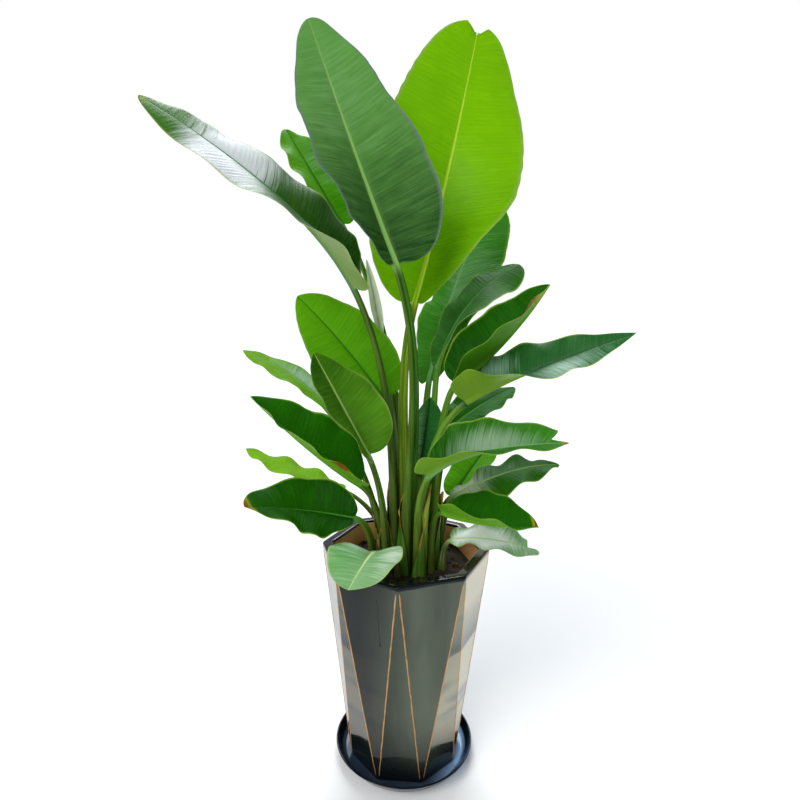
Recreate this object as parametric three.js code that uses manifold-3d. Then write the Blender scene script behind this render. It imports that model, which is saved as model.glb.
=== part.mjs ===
// Potted bird of paradise: a round saucer, a tall faceted planter, soil, and 23 leaves.
// Millimetres, +Z up. The origin is the centre of the saucer's underside, and the front is -Y.

import * as THREE from 'three';
import { mergeVertices } from 'three/addons/utils/BufferGeometryUtils.js';
import Module from 'manifold-3d';

const wasm = await Module();
wasm.setup();

// ---------------------------------------------------------------- driving dimensions

const SAUCER = {
  baseRadius: 138,
  rimRadius: 156,
  height: 28,
  wall: 4,
  floor: 5,
  lip: 1.2,
  sides: 48,
};

const POT = {
  corners: 8,
  turn: -4.4, // degrees, how far the front corner sits round from -Y
  rimRadius: 181, // to the corners
  baseRadius: 124, // to the corners, which sit half a step round from the rim's
  rimBlunt: 10, // width of each flattened rim corner
  baseBlunt: 8,
  rimHeight: 500, // above the floor the saucer stands on
  bevel: 5,
  lipWidth: 24,
  baseWall: 17,
  floor: 14,
  drainRadius: 9,
};

const SOIL = {
  level: 452,
  crown: 9, // how much the middle stands above the edge
  lumps: 2.5,
  rings: [[0.82, 0.4], [0.58, 1]], // share of the width, and share of the crown's height there
  holeDepth: 46,
};

const FIT = 0.3; // gap between faces that touch

const BLADE = {
  thickness: 1.2,
  ribTip: 1.6, // midrib half width at the leaf's tip
  ribRise: 0.35, // how far the midrib stands above the upper face, as a share of its half width
  sweep: 0.091, // how far the side veins sweep towards the tip, as a share of the length
  sweepFade: 0.3, // how the sweep dies out at the tip
  veinBend: 1.2, // how much the side veins bend: 1 is straight
  lobe: 0.03, // how far the base lobes reach back past the joint
  lobeFade: 6, // how soon the lobes end
  waveFade: 1.3, // the margin waves fully where the blade is wider than 1 / this of its width
  ribMost: 0.4, // the midrib takes no more than this share of a half
  columns: [0.55], // extra lines of points in each half of a wide blade
  wideFrom: 120, // a blade wider than this is a wide one
  end: 0.985, // the blade stops here, at a tip a few millimetres wide
  tipHalf: 2.2, // half width of that tip
  tearRun: 0.015, // how much of the length a tear's edge takes
  stations: [0.02, 0.06, 0.12, 0.2, 0.3, 0.4, 0.5, 0.6, 0.7, 0.79, 0.87, 0.94],
};

const STALK = {
  upright: 4, // how far a stalk stays upright above the soil's crown
  depth: 0.8, // its depth as a share of its width
  pull: 0.38, // how long it keeps its upright direction, as a share of its rise
  tallFrom: 250, // a stalk that rises more than this has one more ring
};

const LEAF_DEFAULTS = {
  bow: [0, 0, 0], // how far the midrib's middle stands off the straight line joint-tip
  fold: [22, 22], // how much each half is raised at the base, in degrees: left, right
  foldTip: [12, 12], // the same at the tip
  curl: [-14, -14], // how much each half turns back down from midrib to margin, in degrees
  twist: 0, // turn of the blade about its midrib from joint to tip, in degrees
  wave: [4, 3, 0], // margin wave: height in mm, count, phase in radians
  shape: [0.42, 0.62], // outline: small is blunt, large is pointed: base, tip
  half: [1, 1], // width of each half against the nominal
  stalk: [11, 7], // half widths of the stalk at the soil and at the joint
  lean: 0.3, // how early the stalk turns into the blade's direction
  tears: [], // a torn half: { side: -1 or 1, at: share of the length, keep: share of the width }
};

// Each leaf: where its stalk leaves the soil, where stalk meets blade, where the tip is,
// which way the blade's upper face looks, and the blade's full width.
const LEAVES = [
  {
    name: 'leaf_crown_front', colour: '#2f6b2c', root: [4, -36], joint: [-22, -60, 1090],
    tip: [-170, -85, 1494], face: [0.35, -0.86, 0.36], width: 258, bow: [-2, 40, 0],
    fold: [52, 34], foldTip: [10, 8], twist: 16, wave: [4, 3.5, 0.4], shape: [0.36, 0.52],
    half: [0.95, 1.05], stalk: [12.5, 8.5],
  },
  {
    name: 'leaf_crown_back', colour: '#7db81a', root: [2, -6], joint: [17, 60, 1014],
    tip: [139, 120, 1557], face: [0.06, -0.96, 0.28], width: 305, bow: [2, 34, -20],
    fold: [16, 70], foldTip: [8, -8], twist: 14, wave: [5, 2.5, 1], shape: [0.45, 0.43],
    stalk: [12.5, 8.5],
  },
  {
    name: 'leaf_high_left', colour: '#3f7a4a', root: [-22, -20], joint: [-103, -30, 1046],
    tip: [-473, -70, 1378], face: [0.28, -0.32, 0.9], width: 202, bow: [55, -16, -4],
    fold: [46, 22], foldTip: [0, 6], twist: -8, wave: [5, 4, 2], shape: [0.34, 0.9],
    stalk: [12.5, 8],
  },
  {
    name: 'leaf_upper_left', colour: '#4f9a2a', root: [0, 56], joint: [-143, 150, 1178],
    tip: [-274, 240, 1388], face: [0.55, -0.66, 0.5], width: 132, bow: [-4, 0, 8],
    fold: [34, 14], foldTip: [18, 18], wave: [5, 3.5, 0], shape: [0.42, 0.6],
    stalk: [10.5, 6],
  },
  {
    name: 'leaf_young_rolled', colour: '#8aa080', root: [-8, 26], joint: [-55, 78, 945],
    tip: [-85, 84, 1102], face: [0.1, -1, 0.1], width: 44,
    fold: [72, 72], foldTip: [72, 72], wave: [0, 1, 0], shape: [0.5, 0.8],
    stalk: [7, 4],
  },
  {
    name: 'leaf_upper_right', colour: '#3d8a4a', root: [30, 28], joint: [52, 130, 838],
    tip: [210, 350, 1248], face: [-0.62, -0.66, 0.4], width: 190, bow: [-14, 14, 8],
    fold: [6, 24], foldTip: [0, -6], twist: 4, wave: [5, 3.5, 1.2], shape: [0.48, 0.45],
    half: [0.88, 1.12], stalk: [12, 7.5], tears: [{ side: -1, at: 0.34, keep: 0.8 }], lean: 0.15,
  },
  {
    name: 'leaf_round_right', colour: '#3c7d44', root: [54, 10], joint: [69, 86, 879],
    tip: [249, 168, 1094], face: [-0.6, -0.4, 0.7], width: 155, bow: [-24, -6, 22],
    fold: [0, 46], foldTip: [2, -6], twist: 6, wave: [4, 3, 0], shape: [0.46, 0.43],
    half: [0.95, 1.05], stalk: [11, 7], lean: 0.1,
  },
  {
    name: 'leaf_browned_right', colour: '#2f7a1f', root: [60, -12], joint: [101, -16, 855],
    tip: [282, 4, 1054], face: [-0.5, -0.49, 0.71], width: 168, bow: [10, 2, -8],
    fold: [36, 74], foldTip: [24, 54], wave: [4, 3, 2.4], shape: [0.4, 0.66],
    half: [1.04, 0.96], stalk: [11, 7], lean: 0.12, twist: -4,
  },
  {
    name: 'leaf_long_right', colour: '#3f7f4f', root: [34, -26], joint: [118, -56, 827],
    tip: [426, -86, 969], face: [-0.16, -0.36, 0.92], width: 186, bow: [-44, 0, -10],
    fold: [8, 80], foldTip: [22, 4], twist: 12, wave: [5, 4, 0.6], shape: [0.35, 0.92],
    stalk: [12, 7.5], half: [0.96, 1.04],
  },
  {
    name: 'leaf_behind_right', colour: '#3f8f22', root: [62, 50], joint: [104, 82, 745],
    tip: [256, 200, 810], face: [-0.3, -0.32, 0.9], width: 120, bow: [-2, 0, 6],
    fold: [24, 18], foldTip: [12, 12], wave: [4, 3, 0], shape: [0.42, 0.7],
    stalk: [9.5, 6], lean: 0.12,
  },
  {
    name: 'leaf_torn_right', colour: '#356f3c', root: [28, -54], joint: [50, -95, 693],
    tip: [294, -160, 777], face: [-0.2, -0.37, 0.91], width: 158, bow: [-32, -14, 18],
    fold: [32, 62], foldTip: [12, 32], wave: [4, 3.5, 1.8], shape: [0.4, 0.6],
    stalk: [12, 8], half: [1.03, 0.97],
    tears: [{ side: -1, at: 0.8, keep: 0.12 }, { side: 1, at: 0.9, keep: 0.3 }],
  },
  {
    name: 'leaf_wavy_right', colour: '#3a8a26', root: [78, -2], joint: [102, 28, 602],
    tip: [340, 70, 660], face: [-0.12, -0.18, 0.98], width: 127, bow: [6, -12, 25],
    fold: [-6, -6], foldTip: [10, 9], wave: [9, 3, 2.2], shape: [0.45, 0.8],
    stalk: [8.5, 5.5],
  },
  {
    name: 'leaf_low_right', colour: '#2c7a1c', root: [54, -42], joint: [77, -56, 596],
    tip: [256, -122, 598], face: [0.03, -0.44, 0.9], width: 142, bow: [-9, -25, 2],
    fold: [29, 75], foldTip: [22, 52], wave: [4, 3, 0.5], shape: [0.44, 0.56],
    stalk: [9.5, 6.5], half: [1.03, 0.97],
  },
  {
    name: 'leaf_lowest_right', colour: '#7d9a84', root: [78, -32], joint: [99, -6, 514],
    tip: [282, -34, 501], face: [0.03, -0.2, 0.98], width: 104, bow: [-6, 0, 15],
    fold: [10, 28], foldTip: [12, 14], wave: [6, 3, 1], shape: [0.43, 0.45],
    stalk: [8, 5], tears: [{ side: -1, at: 0.86, keep: 0.25 }],
  },
  {
    name: 'leaf_back_right', colour: '#3f9a26', root: [76, 24], joint: [112, 110, 570],
    tip: [250, 240, 700], face: [-0.5, -0.35, 0.8], width: 110, bow: [0, 0, 14],
    fold: [22, 22], foldTip: [12, 12], wave: [4, 3, 0.9], shape: [0.42, 0.7],
    stalk: [8, 5.5],
  },
  {
    name: 'leaf_centre_folded', colour: '#4f9466', root: [28, 0], joint: [30, 16, 653],
    tip: [49, 14, 824], face: [0, -0.99, 0.12], width: 94, bow: [3, 16, 4],
    fold: [56, 66], foldTip: [42, 36], wave: [3, 2, 0], shape: [0.55, 0.66],
    stalk: [9.5, 6], lean: 0.15, half: [0.9, 1.05],
  },
  {
    name: 'leaf_mid_left', colour: '#4a9a1c', root: [-24, 8], joint: [-45, 12, 820],
    tip: [-222, 26, 1028], face: [0.16, -0.89, 0.43], width: 163, bow: [0, 10, 8],
    fold: [15, 19], foldTip: [14, 11], wave: [4, 3, 1.4], shape: [0.41, 0.68],
    stalk: [11.5, 7], lean: 0.1, half: [0.98, 1.02],
  },
  {
    name: 'leaf_front_left', colour: '#4f8a2a', root: [-40, -44], joint: [-76, -60, 720],
    tip: [-173, -95, 929], face: [0.58, -0.68, 0.45], width: 148, bow: [-3, -10, 12],
    fold: [58, 48], foldTip: [8, -2], twist: 9, wave: [4, 3, 2], shape: [0.36, 0.72],
    half: [0.92, 1.08], stalk: [10, 6.5],
  },
  {
    name: 'leaf_narrow_left', colour: '#6aa03a', root: [-52, 10], joint: [-160, 90, 760],
    tip: [-385, 200, 894], face: [0.5, -0.3, 0.81], width: 112, bow: [22, 8, 8],
    fold: [30, 10], foldTip: [2, 5], wave: [3, 3, 0], shape: [0.43, 0.65],
    stalk: [9, 5.5],
  },
  {
    name: 'leaf_spotted_left', colour: '#2d6f24', root: [-50, -18], joint: [-93, -62, 658],
    tip: [-291, -112, 849], face: [0.4, -0.45, 0.8], width: 165, bow: [3, -16, -6],
    fold: [60, 34], foldTip: [52, 12], wave: [4, 3.5, 1.1], shape: [0.46, 0.7],
    half: [0.94, 1.06], stalk: [10, 6.5],
  },
  {
    name: 'leaf_pale_left', colour: '#7aa81c', root: [-40, 36], joint: [-148, 110, 583],
    tip: [-396, 220, 646], face: [0.06, -0.1, 0.99], width: 95, bow: [-7, -9, 3],
    fold: [22, 0], foldTip: [11, 8], wave: [7, 3, 0.4], shape: [0.44, 0.82],
    stalk: [7.5, 5],
  },
  {
    name: 'leaf_low_left', colour: '#1f5a24', root: [-68, -38], joint: [-103, -62, 586],
    tip: [-310, -118, 632], face: [0, -0.5, 0.86], width: 146, bow: [-2, 38, -10],
    fold: [14, 48], foldTip: [25, 8], twist: 6, wave: [5, 3, 0.6], shape: [0.47, 0.51],
    stalk: [10, 6.5],
  },
  {
    name: 'leaf_over_rim', colour: '#6aa872', root: [-14, -62], joint: [-63, -112, 535],
    tip: [-102, -216, 514], face: [-0.2, -0.47, 0.86], width: 154, bow: [5, 6, 12],
    fold: [22, 28], foldTip: [12, 5], wave: [3, 2, 0], shape: [0.38, 0.52],
    stalk: [8, 5.5], lean: 0.5, twist: 6, half: [0.97, 1.03],
  },
];

// ---------------------------------------------------------------- small helpers

const rad = THREE.MathUtils.degToRad;
const mix = THREE.MathUtils.lerp;
const clamp = THREE.MathUtils.clamp;
const vec = (list) => new THREE.Vector3(...list);

/** A repeatable pseudo-random number in 0..1 for a whole-number seed. */
function chance(seed) {
  const s = Math.sin(seed * 12.9898) * 43758.5453;
  return s - Math.floor(s);
}

function material(colour, roughness, metalness = 0) {
  return new THREE.MeshStandardMaterial({ color: colour, roughness, metalness });
}

function mesh(name, geometry, look) {
  const piece = new THREE.Mesh(geometry, look);
  piece.name = name;
  return piece;
}

/** A geometry from points and triangles that share them. */
function solidFrom(points, triangles) {
  const geometry = new THREE.BufferGeometry();
  const flat = points.flatMap((p) => [p.x, p.y, p.z]);
  geometry.setAttribute('position', new THREE.Float32BufferAttribute(flat, 3));
  geometry.setIndex(triangles.flat());
  return geometry;
}

/** Closed skin over a list of equal rings, with a flat cap on the first and the last ring. */
function loft(rings) {
  const count = rings[0].length;
  const triangles = [];
  for (let i = 0; i + 1 < rings.length; i += 1) {
    for (let j = 0; j < count; j += 1) {
      const a = i * count + j;
      const b = i * count + ((j + 1) % count);
      triangles.push([a, b, b + count], [a, b + count, a + count]);
    }
  }
  const last = (rings.length - 1) * count;
  for (let j = 1; j + 1 < count; j += 1) {
    triangles.push([0, j + 1, j], [last, last + j, last + j + 1]);
  }
  return solidFrom(rings.flat(), triangles);
}

function toManifold(geometry) {
  const bare = geometry.clone();
  bare.deleteAttribute('normal');
  bare.deleteAttribute('uv');
  const merged = mergeVertices(bare, 1e-4);
  const vertProperties = Float32Array.from(merged.attributes.position.array);
  const triVerts = Uint32Array.from(merged.index.array);
  return new wasm.Manifold(new wasm.Mesh({ numProp: 3, vertProperties, triVerts }));
}

function fromManifold(solid) {
  const { vertProperties, triVerts } = solid.getMesh();
  const geometry = new THREE.BufferGeometry();
  geometry.setAttribute('position', new THREE.BufferAttribute(vertProperties, 3));
  geometry.setIndex(new THREE.BufferAttribute(triVerts, 1));
  return geometry;
}

// ---------------------------------------------------------------- saucer

function saucer() {
  const { baseRadius, rimRadius, height, wall, floor, lip, sides } = SAUCER;
  const innerRim = rimRadius - wall;
  const innerBase = baseRadius - wall + 1;
  const profile = [
    [0, 0],
    [baseRadius - 2, 0],
    [baseRadius, 2],
    [rimRadius, height - lip],
    [rimRadius - lip, height],
    [innerRim + lip, height],
    [innerRim, height - lip],
    [innerBase + 3, floor + 3],
    [innerBase, floor],
    [0, floor],
  ].map(([r, z]) => new THREE.Vector2(r, z));
  const dish = new THREE.LatheGeometry(profile, sides);
  dish.rotateX(Math.PI / 2);
  return fromManifold(toManifold(dish));
}

// ---------------------------------------------------------------- pot and soil

/**
 * Sixteen points round the pot: two for each corner, so every corner is blunt. `half` is 0
 * for the rim's corners and 0.5 for the base's. The points are ordered so that point i of
 * a rim ring and point i of a base ring are the two ends of one ridge.
 */
function cornerRing(radius, blunt, half, z) {
  const step = 360 / POT.corners;
  const spread = Math.asin(blunt / 2 / radius);
  const ring = [];
  for (let i = 0; i < POT.corners * 2; i += 1) {
    const corner = half === 0 ? Math.floor(i / 2) : Math.floor((i - 1) / 2) + half;
    const first = half === 0 ? i % 2 === 0 : i % 2 === 1;
    const angle = rad(POT.turn + corner * step) + (first ? -spread : spread);
    ring.push(new THREE.Vector3(radius * Math.sin(angle), -radius * Math.cos(angle), z));
  }
  return ring;
}

const POT_FOOT = SAUCER.floor + FIT;
const CAVITY_FOOT = POT_FOOT + POT.floor;
const innerRim = () =>
  cornerRing(POT.rimRadius - POT.lipWidth, POT.rimBlunt, 0, POT.rimHeight - POT.bevel);
const innerBase = () =>
  cornerRing(POT.baseRadius - POT.baseWall, POT.baseBlunt, 0.5, CAVITY_FOOT);

/** The ring between the pot's inner base and inner rim at a height, drawn in by a gap. */
function innerRing(z, gap) {
  const t = (z - CAVITY_FOOT) / (POT.rimHeight - POT.bevel - CAVITY_FOOT);
  const top = innerRim();
  return innerBase().map((p, i) => {
    const q = p.clone().lerp(top[i], t);
    const shrink = 1 - gap / Math.hypot(q.x, q.y);
    return new THREE.Vector3(q.x * shrink, q.y * shrink, z);
  });
}

function pot() {
  const { rimRadius, baseRadius, rimBlunt, baseBlunt, rimHeight, bevel, lipWidth } = POT;
  const outer = loft([
    cornerRing(baseRadius - 2, baseBlunt, 0.5, POT_FOOT),
    cornerRing(baseRadius, baseBlunt, 0.5, POT_FOOT + 2),
    cornerRing(rimRadius, rimBlunt, 0, rimHeight - bevel),
    cornerRing(rimRadius - bevel, rimBlunt, 0, rimHeight),
  ]);
  const cavity = loft([
    innerBase(),
    innerRim(),
    cornerRing(rimRadius - lipWidth + bevel, rimBlunt, 0, rimHeight),
    cornerRing(rimRadius - lipWidth + bevel, rimBlunt, 0, rimHeight + 10),
  ]);
  const drain = new THREE.CylinderGeometry(POT.drainRadius, POT.drainRadius, 60, 16);
  drain.rotateX(Math.PI / 2);
  return fromManifold(toManifold(outer).subtract(toManifold(cavity)).subtract(toManifold(drain)));
}

/** The soil fills the pot, is a little higher and lumpy in the middle, and holds the stalks. */
function soil(holes) {
  const { level, crown, lumps, rings } = SOIL;
  const shrunk = ([share, height]) =>
    innerRing(level, FIT).map((p, i) => {
      const lump = lumps * (chance(i + 100 * share) - 0.5);
      return new THREE.Vector3(p.x * share, p.y * share, level + crown * height + lump);
    });
  const body = loft([
    innerRing(CAVITY_FOOT + FIT, FIT),
    innerRing(level, FIT),
    ...rings.map(shrunk),
  ]);
  let solid = toManifold(body);
  for (const hole of holes) {
    solid = solid.subtract(toManifold(hole));
  }
  return fromManifold(solid);
}

// ---------------------------------------------------------------- leaves

/** Where the midrib is at share a of the blade, and which way it runs. */
function midrib(leaf, a) {
  const t = clamp(a, 0, 1);
  const point = leaf.joint.clone().multiplyScalar((1 - t) ** 2);
  point.addScaledVector(leaf.bend, 2 * t * (1 - t)).addScaledVector(leaf.tip, t * t);
  const run = leaf.bend.clone().sub(leaf.joint).multiplyScalar(2 * (1 - t));
  run.addScaledVector(leaf.tip.clone().sub(leaf.bend), 2 * t);
  point.addScaledVector(run, a - t);
  return { point, along: run.normalize() };
}

/** A unit vector across `along`, as near to `wish` as it can be. */
function squared(wish, along) {
  return wish.clone().addScaledVector(along, -wish.dot(along)).normalize();
}

/** Outline: half width of the blade at share m of its length, 1 at the widest place. */
function outline([base, tip], m) {
  const widest = base / (base + tip);
  const t = clamp(m, 0, 1);
  return (t / widest) ** base * ((1 - t) / (1 - widest)) ** tip;
}

/** How much of the half's width is left past its tears. */
function tornShare(leaf, side, u) {
  const torn = leaf.tears.filter((tear) => tear.side === side && u > tear.at + 1e-6);
  return torn.reduce((share, tear) => share * tear.keep, 1);
}

const OTHER_HALF = 2.1; // phase between the waves of the two margins, in radians

/**
 * A point of the blade's middle surface. u runs from joint to tip along the midrib, and v from
 * margin to margin. Lines of equal u follow the side veins, which sweep towards the tip.
 */
function bladePoint(leaf, u, v) {
  const side = v < 0 ? -1 : 1;
  const pick = ([left, right]) => (side < 0 ? left : right);
  const across = Math.abs(v);
  const sweep = BLADE.sweep * Math.sin(Math.PI * u) * (1 - u) ** BLADE.sweepFade;
  const back = BLADE.lobe * (1 - u) ** BLADE.lobeFade;
  const margin = u + sweep - back;
  const a = u + (margin - u) * across ** BLADE.veinBend;
  const full = outline(leaf.shape, (margin + BLADE.lobe) / (1 + BLADE.lobe));
  const keep = tornShare(leaf, side, u);
  const halfWidth = Math.max((leaf.width / 2) * full * keep * pick(leaf.half), BLADE.tipHalf);
  const { point, along } = midrib(leaf, a);
  const turn = rad(leaf.twist) * clamp(a, 0, 1);
  const level = squared(leaf.face, along);
  const sideways = new THREE.Vector3().crossVectors(along, level);
  const up = level.clone().multiplyScalar(Math.cos(turn)).addScaledVector(sideways, Math.sin(turn));
  const out = new THREE.Vector3().crossVectors(along, up);
  const fold = rad(mix(pick(leaf.fold), pick(leaf.foldTip), THREE.MathUtils.smoothstep(a, 0, 1)));
  const curl = rad(pick(leaf.curl));
  const reach = halfWidth * across;
  const tilt = fold + (curl * across) / 2;
  const [height, count, phase] = leaf.wave;
  const beat = Math.sin(2 * Math.PI * count * a + phase + (side < 0 ? 0 : OTHER_HALF));
  const wave = height * across ** 2 * beat * Math.min(1, full * BLADE.waveFade);
  const lift = fold + curl * across;
  point.addScaledVector(out, side * (reach * Math.cos(tilt) - wave * Math.sin(lift)));
  point.addScaledVector(up, reach * Math.sin(tilt) + wave * Math.cos(lift));
  const normal = up.clone().multiplyScalar(Math.cos(lift));
  normal.addScaledVector(out, -side * Math.sin(lift));
  return { point, normal, halfWidth };
}

function ribHalf(leaf, u) {
  return mix(leaf.stalk[1], BLADE.ribTip, Math.min(1, u) ** 0.7);
}

/** Places across the blade from margin to margin, with the midrib's edges at -inner and inner. */
function bladeColumns(leaf, inner) {
  const extra = leaf.width > BLADE.wideFrom ? BLADE.columns : [];
  const right = [inner, ...extra, 1];
  return [...right.map((v) => -v).reverse(), 0, ...right];
}

/** Ring of points round the blade at station u: along the upper face, then back below. */
function bladeRing(leaf, u) {
  const rib = ribHalf(leaf, u);
  const half = BLADE.thickness / 2;
  const { halfWidth } = bladePoint(leaf, u, 1);
  const columns = bladeColumns(leaf, Math.min(rib / halfWidth, BLADE.ribMost));
  const upper = columns.map((v) => {
    const { point, normal } = bladePoint(leaf, u, v);
    return point.addScaledVector(normal, v === 0 ? half + rib * BLADE.ribRise : half);
  });
  const lower = columns.map((v) => {
    const { point, normal } = bladePoint(leaf, u, v);
    return point.addScaledVector(normal, v === 0 ? -rib : -half);
  });
  return [...upper, ...lower.reverse()];
}

/** Ring round the stalk: an oval with as many points as the blade's rings. */
function stalkRing(leaf, centre, along, upward, halfWidth, halfDepth) {
  const count = bladeColumns(leaf, 0).length;
  const out = new THREE.Vector3().crossVectors(along, upward);
  const inset = Math.PI / (2 * count);
  const ring = [];
  for (let i = 0; i < count * 2; i += 1) {
    const upperSide = i < count;
    const j = upperSide ? i : i - count;
    const sweep = inset + (j * (Math.PI - 2 * inset)) / (count - 1);
    const angle = upperSide ? Math.PI - sweep : -sweep;
    const point = centre.clone().addScaledVector(out, halfWidth * Math.cos(angle));
    ring.push(point.addScaledVector(upward, halfDepth * Math.sin(angle)));
  }
  return ring;
}

/** Control points of the stalk's curve, which leaves the soil upright and joins the midrib. */
function stalkCurve(leaf) {
  const rise = leaf.joint.distanceTo(leaf.foot);
  const start = midrib(leaf, 0).along;
  const low = leaf.foot.clone();
  low.z += STALK.pull * rise;
  const high = leaf.joint.clone().addScaledVector(start, -leaf.lean * rise);
  return new THREE.CubicBezierCurve3(leaf.foot, low, high, leaf.joint);
}

/** Which way the stalk's channel looks where it leaves the soil: inwards and to the face. */
function footFace(leaf) {
  const away = leaf.joint.clone().sub(leaf.foot).setZ(0);
  const outwards = away.length() > 20 ? away.normalize() : new THREE.Vector3();
  const front = leaf.face.clone().setZ(0);
  const blend = front.addScaledVector(outwards, -0.6);
  return blend.length() < 0.2 ? outwards.negate() : blend.normalize();
}

function stalkRings(leaf, steps) {
  const curve = stalkCurve(leaf);
  const low = footFace(leaf);
  const high = squared(leaf.face, midrib(leaf, 0).along);
  const [wide, slim] = leaf.stalk;
  const { depth } = STALK;
  const rings = [];
  const up = new THREE.Vector3(0, 0, 1);
  const sunk = leaf.foot.clone();
  sunk.z = SOIL.level - SOIL.holeDepth + FIT;
  rings.push(stalkRing(leaf, sunk, up, squared(low, up), wide, wide * depth));
  for (let i = 0; i <= steps; i += 1) {
    const t = i / steps;
    const along = i === 0 ? up : curve.getTangent(t);
    const upward = squared(low.clone().lerp(high, t), along);
    const half = mix(wide, slim, Math.min(1, t * 1.25) ** 0.8);
    rings.push(stalkRing(leaf, curve.getPoint(t), along, upward, half, half * depth));
  }
  return rings;
}

/** Stations along the blade, close together where the outline turns, with each tear's ends. */
function bladeStations(leaf) {
  const even = [...BLADE.stations, BLADE.end];
  const tears = leaf.tears.flatMap((tear) => [tear.at, tear.at + BLADE.tearRun]);
  const kept = even.filter((u) => tears.every((at) => Math.abs(at - u) > BLADE.tearRun));
  return [...kept, ...tears].sort((a, b) => a - b);
}

/** One leaf: a skin over the stalk's rings and the blade's rings, split alike on both faces. */
function leafSolid(leaf) {
  const steps = leaf.joint.z - SOIL.level > STALK.tallFrom ? 6 : 5;
  const rings = [...stalkRings(leaf, steps), ...bladeStations(leaf).map((u) => bladeRing(leaf, u))];
  const count = rings[0].length;
  const row = count / 2;
  const triangles = [];
  for (let i = 0; i + 1 < rings.length; i += 1) {
    for (let j = 0; j < count; j += 1) {
      const next = (j + 1) % count;
      const a = i * count + j;
      const b = i * count + next;
      const c = b + count;
      const d = a + count;
      const upperFace = j < row - 1;
      if (upperFace) {
        triangles.push([a, b, c], [a, c, d]);
      } else {
        triangles.push([a, b, d], [b, c, d]);
      }
    }
  }
  const last = (rings.length - 1) * count;
  for (let j = 0; j + 1 < row; j += 1) {
    const under = count - 1 - j;
    triangles.push([j, under, j + 1], [j + 1, under, under - 1]);
    triangles.push([last + j, last + j + 1, last + under]);
    triangles.push([last + j + 1, last + under - 1, last + under]);
  }
  return solidFrom(rings.flat(), triangles);
}

/** The plain hole that a stalk stands in, with the fitting gap all round and below. */
function stalkHole(leaf) {
  const up = new THREE.Vector3(0, 0, 1);
  const wide = leaf.stalk[0] + FIT * 1.3;
  const deep = leaf.stalk[0] * STALK.depth + FIT * 1.3;
  const upward = squared(footFace(leaf), up);
  const bottom = leaf.foot.clone();
  bottom.z = SOIL.level - SOIL.holeDepth;
  const top = leaf.foot.clone();
  top.z += SOIL.crown;
  const rings = [bottom, top].map((p) => stalkRing(leaf, p, up, upward, wide, deep));
  return loft(rings);
}

function prepared(spec) {
  const leaf = { ...LEAF_DEFAULTS, ...spec };
  leaf.foot = vec([...spec.root, SOIL.level + SOIL.crown + STALK.upright]);
  leaf.joint = vec(spec.joint);
  leaf.tip = vec(spec.tip);
  leaf.face = vec(spec.face).normalize();
  leaf.bend = leaf.joint.clone().add(leaf.tip).multiplyScalar(0.5);
  leaf.bend.addScaledVector(vec(leaf.bow), 2);
  return leaf;
}

// ---------------------------------------------------------------- the whole plant

const leaves = LEAVES.map(prepared);

const pottedPlant = new THREE.Group();
pottedPlant.add(mesh('saucer', saucer(), material('#12181d', 0.12)));
pottedPlant.add(mesh('pot', pot(), material('#161b1d', 0.1)));
pottedPlant.add(mesh('soil', soil(leaves.map(stalkHole)), material('#3a2418', 0.95)));
for (const leaf of leaves) {
  pottedPlant.add(mesh(leaf.name, leafSolid(leaf), material(leaf.colour, 0.35)));
}

export default pottedPlant;
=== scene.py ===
"""A potted bird of paradise: glazed faceted planter, saucer, soil and 23 leaves.

Metres, +Z up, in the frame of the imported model: the origin is the centre of the saucer's
underside, and -Y is the front. Angles in the tables are in degrees.
"""

import logging
import math
from dataclasses import dataclass, field
from enum import Enum
from typing import ClassVar

import bpy
import numpy as np
from mathutils import Matrix, Vector


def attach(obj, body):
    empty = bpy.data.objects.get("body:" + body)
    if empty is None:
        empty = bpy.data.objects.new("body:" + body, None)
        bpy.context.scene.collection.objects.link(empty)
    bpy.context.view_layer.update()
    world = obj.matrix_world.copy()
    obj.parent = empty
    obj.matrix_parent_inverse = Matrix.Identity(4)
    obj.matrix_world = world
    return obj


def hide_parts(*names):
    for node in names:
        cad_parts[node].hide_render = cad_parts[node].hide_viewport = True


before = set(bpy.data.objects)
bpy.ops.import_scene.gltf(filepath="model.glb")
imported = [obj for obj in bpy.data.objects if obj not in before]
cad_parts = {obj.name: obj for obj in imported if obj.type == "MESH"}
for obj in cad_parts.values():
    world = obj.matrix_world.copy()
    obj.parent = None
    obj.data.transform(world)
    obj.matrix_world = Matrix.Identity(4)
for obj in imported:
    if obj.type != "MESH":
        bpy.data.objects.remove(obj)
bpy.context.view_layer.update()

LOG = logging.getLogger("potted_plant")
BODY = "root"
MM = 0.001
WAVES = 5  # how many waves a ripple is summed from
Triple = tuple[float, float, float]
Colour = tuple[float, float, float, float]
Ring = list[Vector]
Socket = bpy.types.NodeSocket
Value = Socket | float


# ---------------------------------------------------------------- small helpers


def linear(hex_colour: str) -> Colour:
    """Turn an sRGB hex colour into linear light.

    Args:
        hex_colour: Six hex digits with a leading #.

    Returns:
        Red, green, blue and an alpha of 1.
    """
    channels = [int(hex_colour[i:i + 2], 16) / 255 for i in (1, 3, 5)]
    light = [c / 12.92 if c <= 0.04045 else ((c + 0.055) / 1.055) ** 2.4 for c in channels]
    return (light[0], light[1], light[2], 1.0)


def only(piece: bpy.types.Object) -> None:
    """Select this piece alone and make it the active one."""
    bpy.ops.object.select_all(action="DESELECT")
    piece.select_set(True)
    bpy.context.view_layer.objects.active = piece


def apply_modifier(piece: bpy.types.Object, kind: str, **settings) -> None:
    """Add a modifier to a piece and apply it.

    Args:
        piece: The mesh object.
        kind: The modifier's type name.
        **settings: The modifier's properties.
    """
    only(piece)
    modifier = piece.modifiers.new(kind.lower(), kind)
    for name, value in settings.items():
        setattr(modifier, name, value)
    bpy.ops.object.modifier_apply(modifier=modifier.name)


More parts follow.
